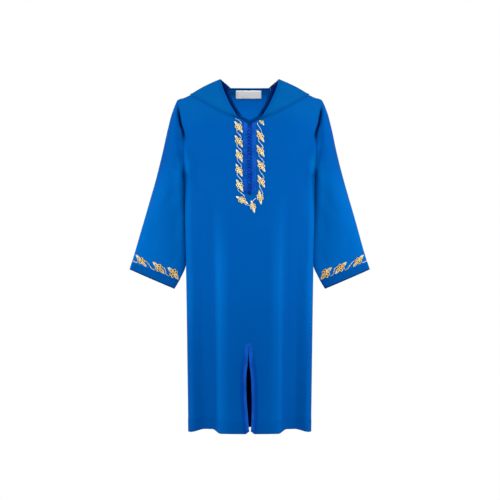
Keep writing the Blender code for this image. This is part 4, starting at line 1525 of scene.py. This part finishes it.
def sew(mesh, places):
    """Adds a row of stitches along a line of (point, normal) pairs."""
    reached, last = 0.0, 0.0
    for (a, up), (b, _) in zip(places, places[1:]):
        step = (b - a).length
        while reached + step >= last:
            point, run = a.lerp(b, (last - reached) / step if step else 0), (b - a).normalized()
            across = run.cross(up).normalized()
            turn = Matrix((run, across, across.cross(run))).transposed().to_4x4()
            matrix = Matrix.Translation(point + up * 0.12) @ turn @ Matrix.Diagonal(STITCH)
            bmesh.ops.create_icosphere(mesh, subdivisions=1, radius=1, matrix=matrix)
            last += STITCH_PITCH
        reached += step


def sewing(trees, blue_thread):
    """Every visible row of stitches: hem, slit facing, cuffs and the hood's edge."""
    mesh = bmesh.new()
    front = on_front(trees["front"])

    def walk(tree, points):
        return [tree.find_nearest(point)[:2] for point in points]

    for side in (-1, 1):
        for up in HEM_ROWS:
            hem = [front_point(side, i / 90, up / FRONT_HIGH) for i in range(1, 91)]
            sew(mesh, walk(trees["front"], hem))
        for off in SLIT_ROWS:
            heights = [-640 - i * 4 for i in range(35)]
            sew(mesh, [front(MIDDLE(z, "x") + side * (MIDDLE(z, "half_gap") + off), z) for z in heights])
    for up in HEM_ROWS:
        sew(mesh, walk(trees["back"], [back_point(i / 90 - 1, up / BACK_HIGH) for i in range(181)]))
    finished("body_stitching", mesh, blue_thread, [])
    for side, name in ((-1, "left"), (1, "right")):
        mesh = bmesh.new()
        find, around = round_cuff(side, trees["sleeve", side])
        for up in CUFF_ROWS:
            sew(mesh, [find(around * i / 90, up) for i in range(91)])
        edge = [hood_point(side, line, HOOD_ROW) for line in split(HOOD_LINES, 3)]
        sew(mesh, walk(trees["hood", side], edge))
        finished("arm_and_hood_stitching_" + name, mesh, blue_thread, [])


# ---------------------------------------------------------------- the robe, its light and its camera


class Room(Finish):
    """The studio's walls: plain white, but lighting the robe from eye level only, so it isn't lit flatly."""

    def __init__(self):
        world = bpy.data.worlds.new("white_room")
        world.use_nodes = True
        bpy.context.scene.world = world
        self.tree = world.node_tree
        self.shader = self.tree.nodes["Background"]
        height = self.part(self.node("ShaderNodeTexCoord"), 2).size()
        lit = self.mix(height.clear(0.205, 0.34), (1, 1, 1, 1), (0.15, 0.15, 0.15, 1))
        self.give("Color", self.mix(self.node("ShaderNodeLightPath"), lit, (1, 1, 1, 1)))


SOFTBOXES = (  # name, width and height in metres, watts, place
    ("softbox_front", 1.4, 1.4, 122, (0.25, -2.5, 1.5)),
    ("softbox_left", 1.4, 2.2, 70, (-2.4, -0.45, 0.5)),
    ("softbox_right", 1.4, 2.2, 70, (2.4, -0.45, 0.5)),
    ("softbox_back", 1.4, 1.4, 80, (-0.3, 2.7, 0.1)),
)
LIT_PLACE = Vector((0, 0, -0.35))  # the middle of the robe, which the lamps face
FLOOR_SIZE, FLOOR_Z = 1.4, -1.4
CAMERA_PLACE = (0.0007, -3.0, -0.379)
LENS, FILM = 90, 36  # in millimetres


def softbox(name, wide, high, power, place):
    """A large soft lamp."""
    lamp = bpy.data.lights.new(name, "AREA")
    lamp.shape, lamp.size, lamp.size_y, lamp.energy = "RECTANGLE", wide, high, power
    holder = put(name, lamp)
    holder.location = place
    holder.rotation_euler = (LIT_PLACE - holder.location).to_track_quat("-Z", "Y").to_euler()


def studio():
    Room()
    for row in SOFTBOXES:
        softbox(*row)
    mesh = bmesh.new()
    bmesh.ops.create_grid(mesh, x_segments=1, y_segments=1, size=FLOOR_SIZE)
    bmesh.ops.translate(mesh, vec=(0, 0, FLOOR_Z), verts=mesh.verts)
    data = bpy.data.meshes.new("floor")
    mesh.to_mesh(data)
    mesh.free()
    plain = Finish("pale_floor", Roughness=0.9)
    plain.give("Base Color", plain.mix(plain.cloud(2.0), rgb(236, 236, 236), rgb(242, 242, 242)))
    data.materials.append(plain.material)
    floor = put("floor", data)

    camera = bpy.data.cameras.new("camera")
    camera.lens, camera.sensor_width = LENS, FILM
    holder = put("camera", camera)
    holder.location = CAMERA_PLACE
    holder.rotation_euler = (math.radians(90), 0, 0)
    bpy.context.scene.camera = holder
    bpy.context.scene.view_settings.view_transform = "Standard"


def build():
    blue = crepe()
    violet = satin("blue_satin", rgb(3, 50, 126), rgb(6, 65, 146), 0.45)
    loop_cord = satin("loop_cord", rgb(5, 62, 150), rgb(10, 80, 176), 0.45)
    navy = satin("navy_cord", rgb(2, 34, 124), rgb(10, 66, 172), 0.5)
    # Each thread: its painted shade, its own colour and its painted highlight.
    gold = thread("gold_thread", rgb(70, 38, 8), rgb(176, 144, 84), rgb(224, 210, 162), 0.15, 0.42)
    dull_gold = thread("dull_gold_thread", rgb(64, 34, 8), rgb(160, 126, 68), rgb(206, 182, 124), 0.15, 0.45)
    plain = {"metal": 0.05, "gloss": 0.5, "slant": 900.0}
    silver = thread("silver_thread", rgb(60, 84, 120), rgb(128, 158, 176), rgb(186, 204, 206), **plain)
    tan = thread("tan_thread", rgb(70, 56, 40), rgb(156, 144, 122), rgb(200, 188, 160), **plain)
    white = woven_label()
    trees = {"front": front_cloth(blue), "back": back_cloth(blue)}
    chest = on_front(trees["front"])
    for side, name in ((-1, "left"), (1, "right")):
        trees["sleeve", side] = sleeve_cloth(side, name, blue)
        trees["hood", side] = hood_cloth(side, name, blue)
        neck_facing(side, name, blue)
        placket_band(side, name, chest, violet)
        cuff_vine(side, name, trees["sleeve", side], dull_gold, tan)
    knots_and_loops(chest, navy, loop_cord)
    slit_edging(chest, violet)
    neck_vine(chest, gold, silver)
    neck_label(white, trees["back"])
    sewing(trees, blue)


build()
studio()
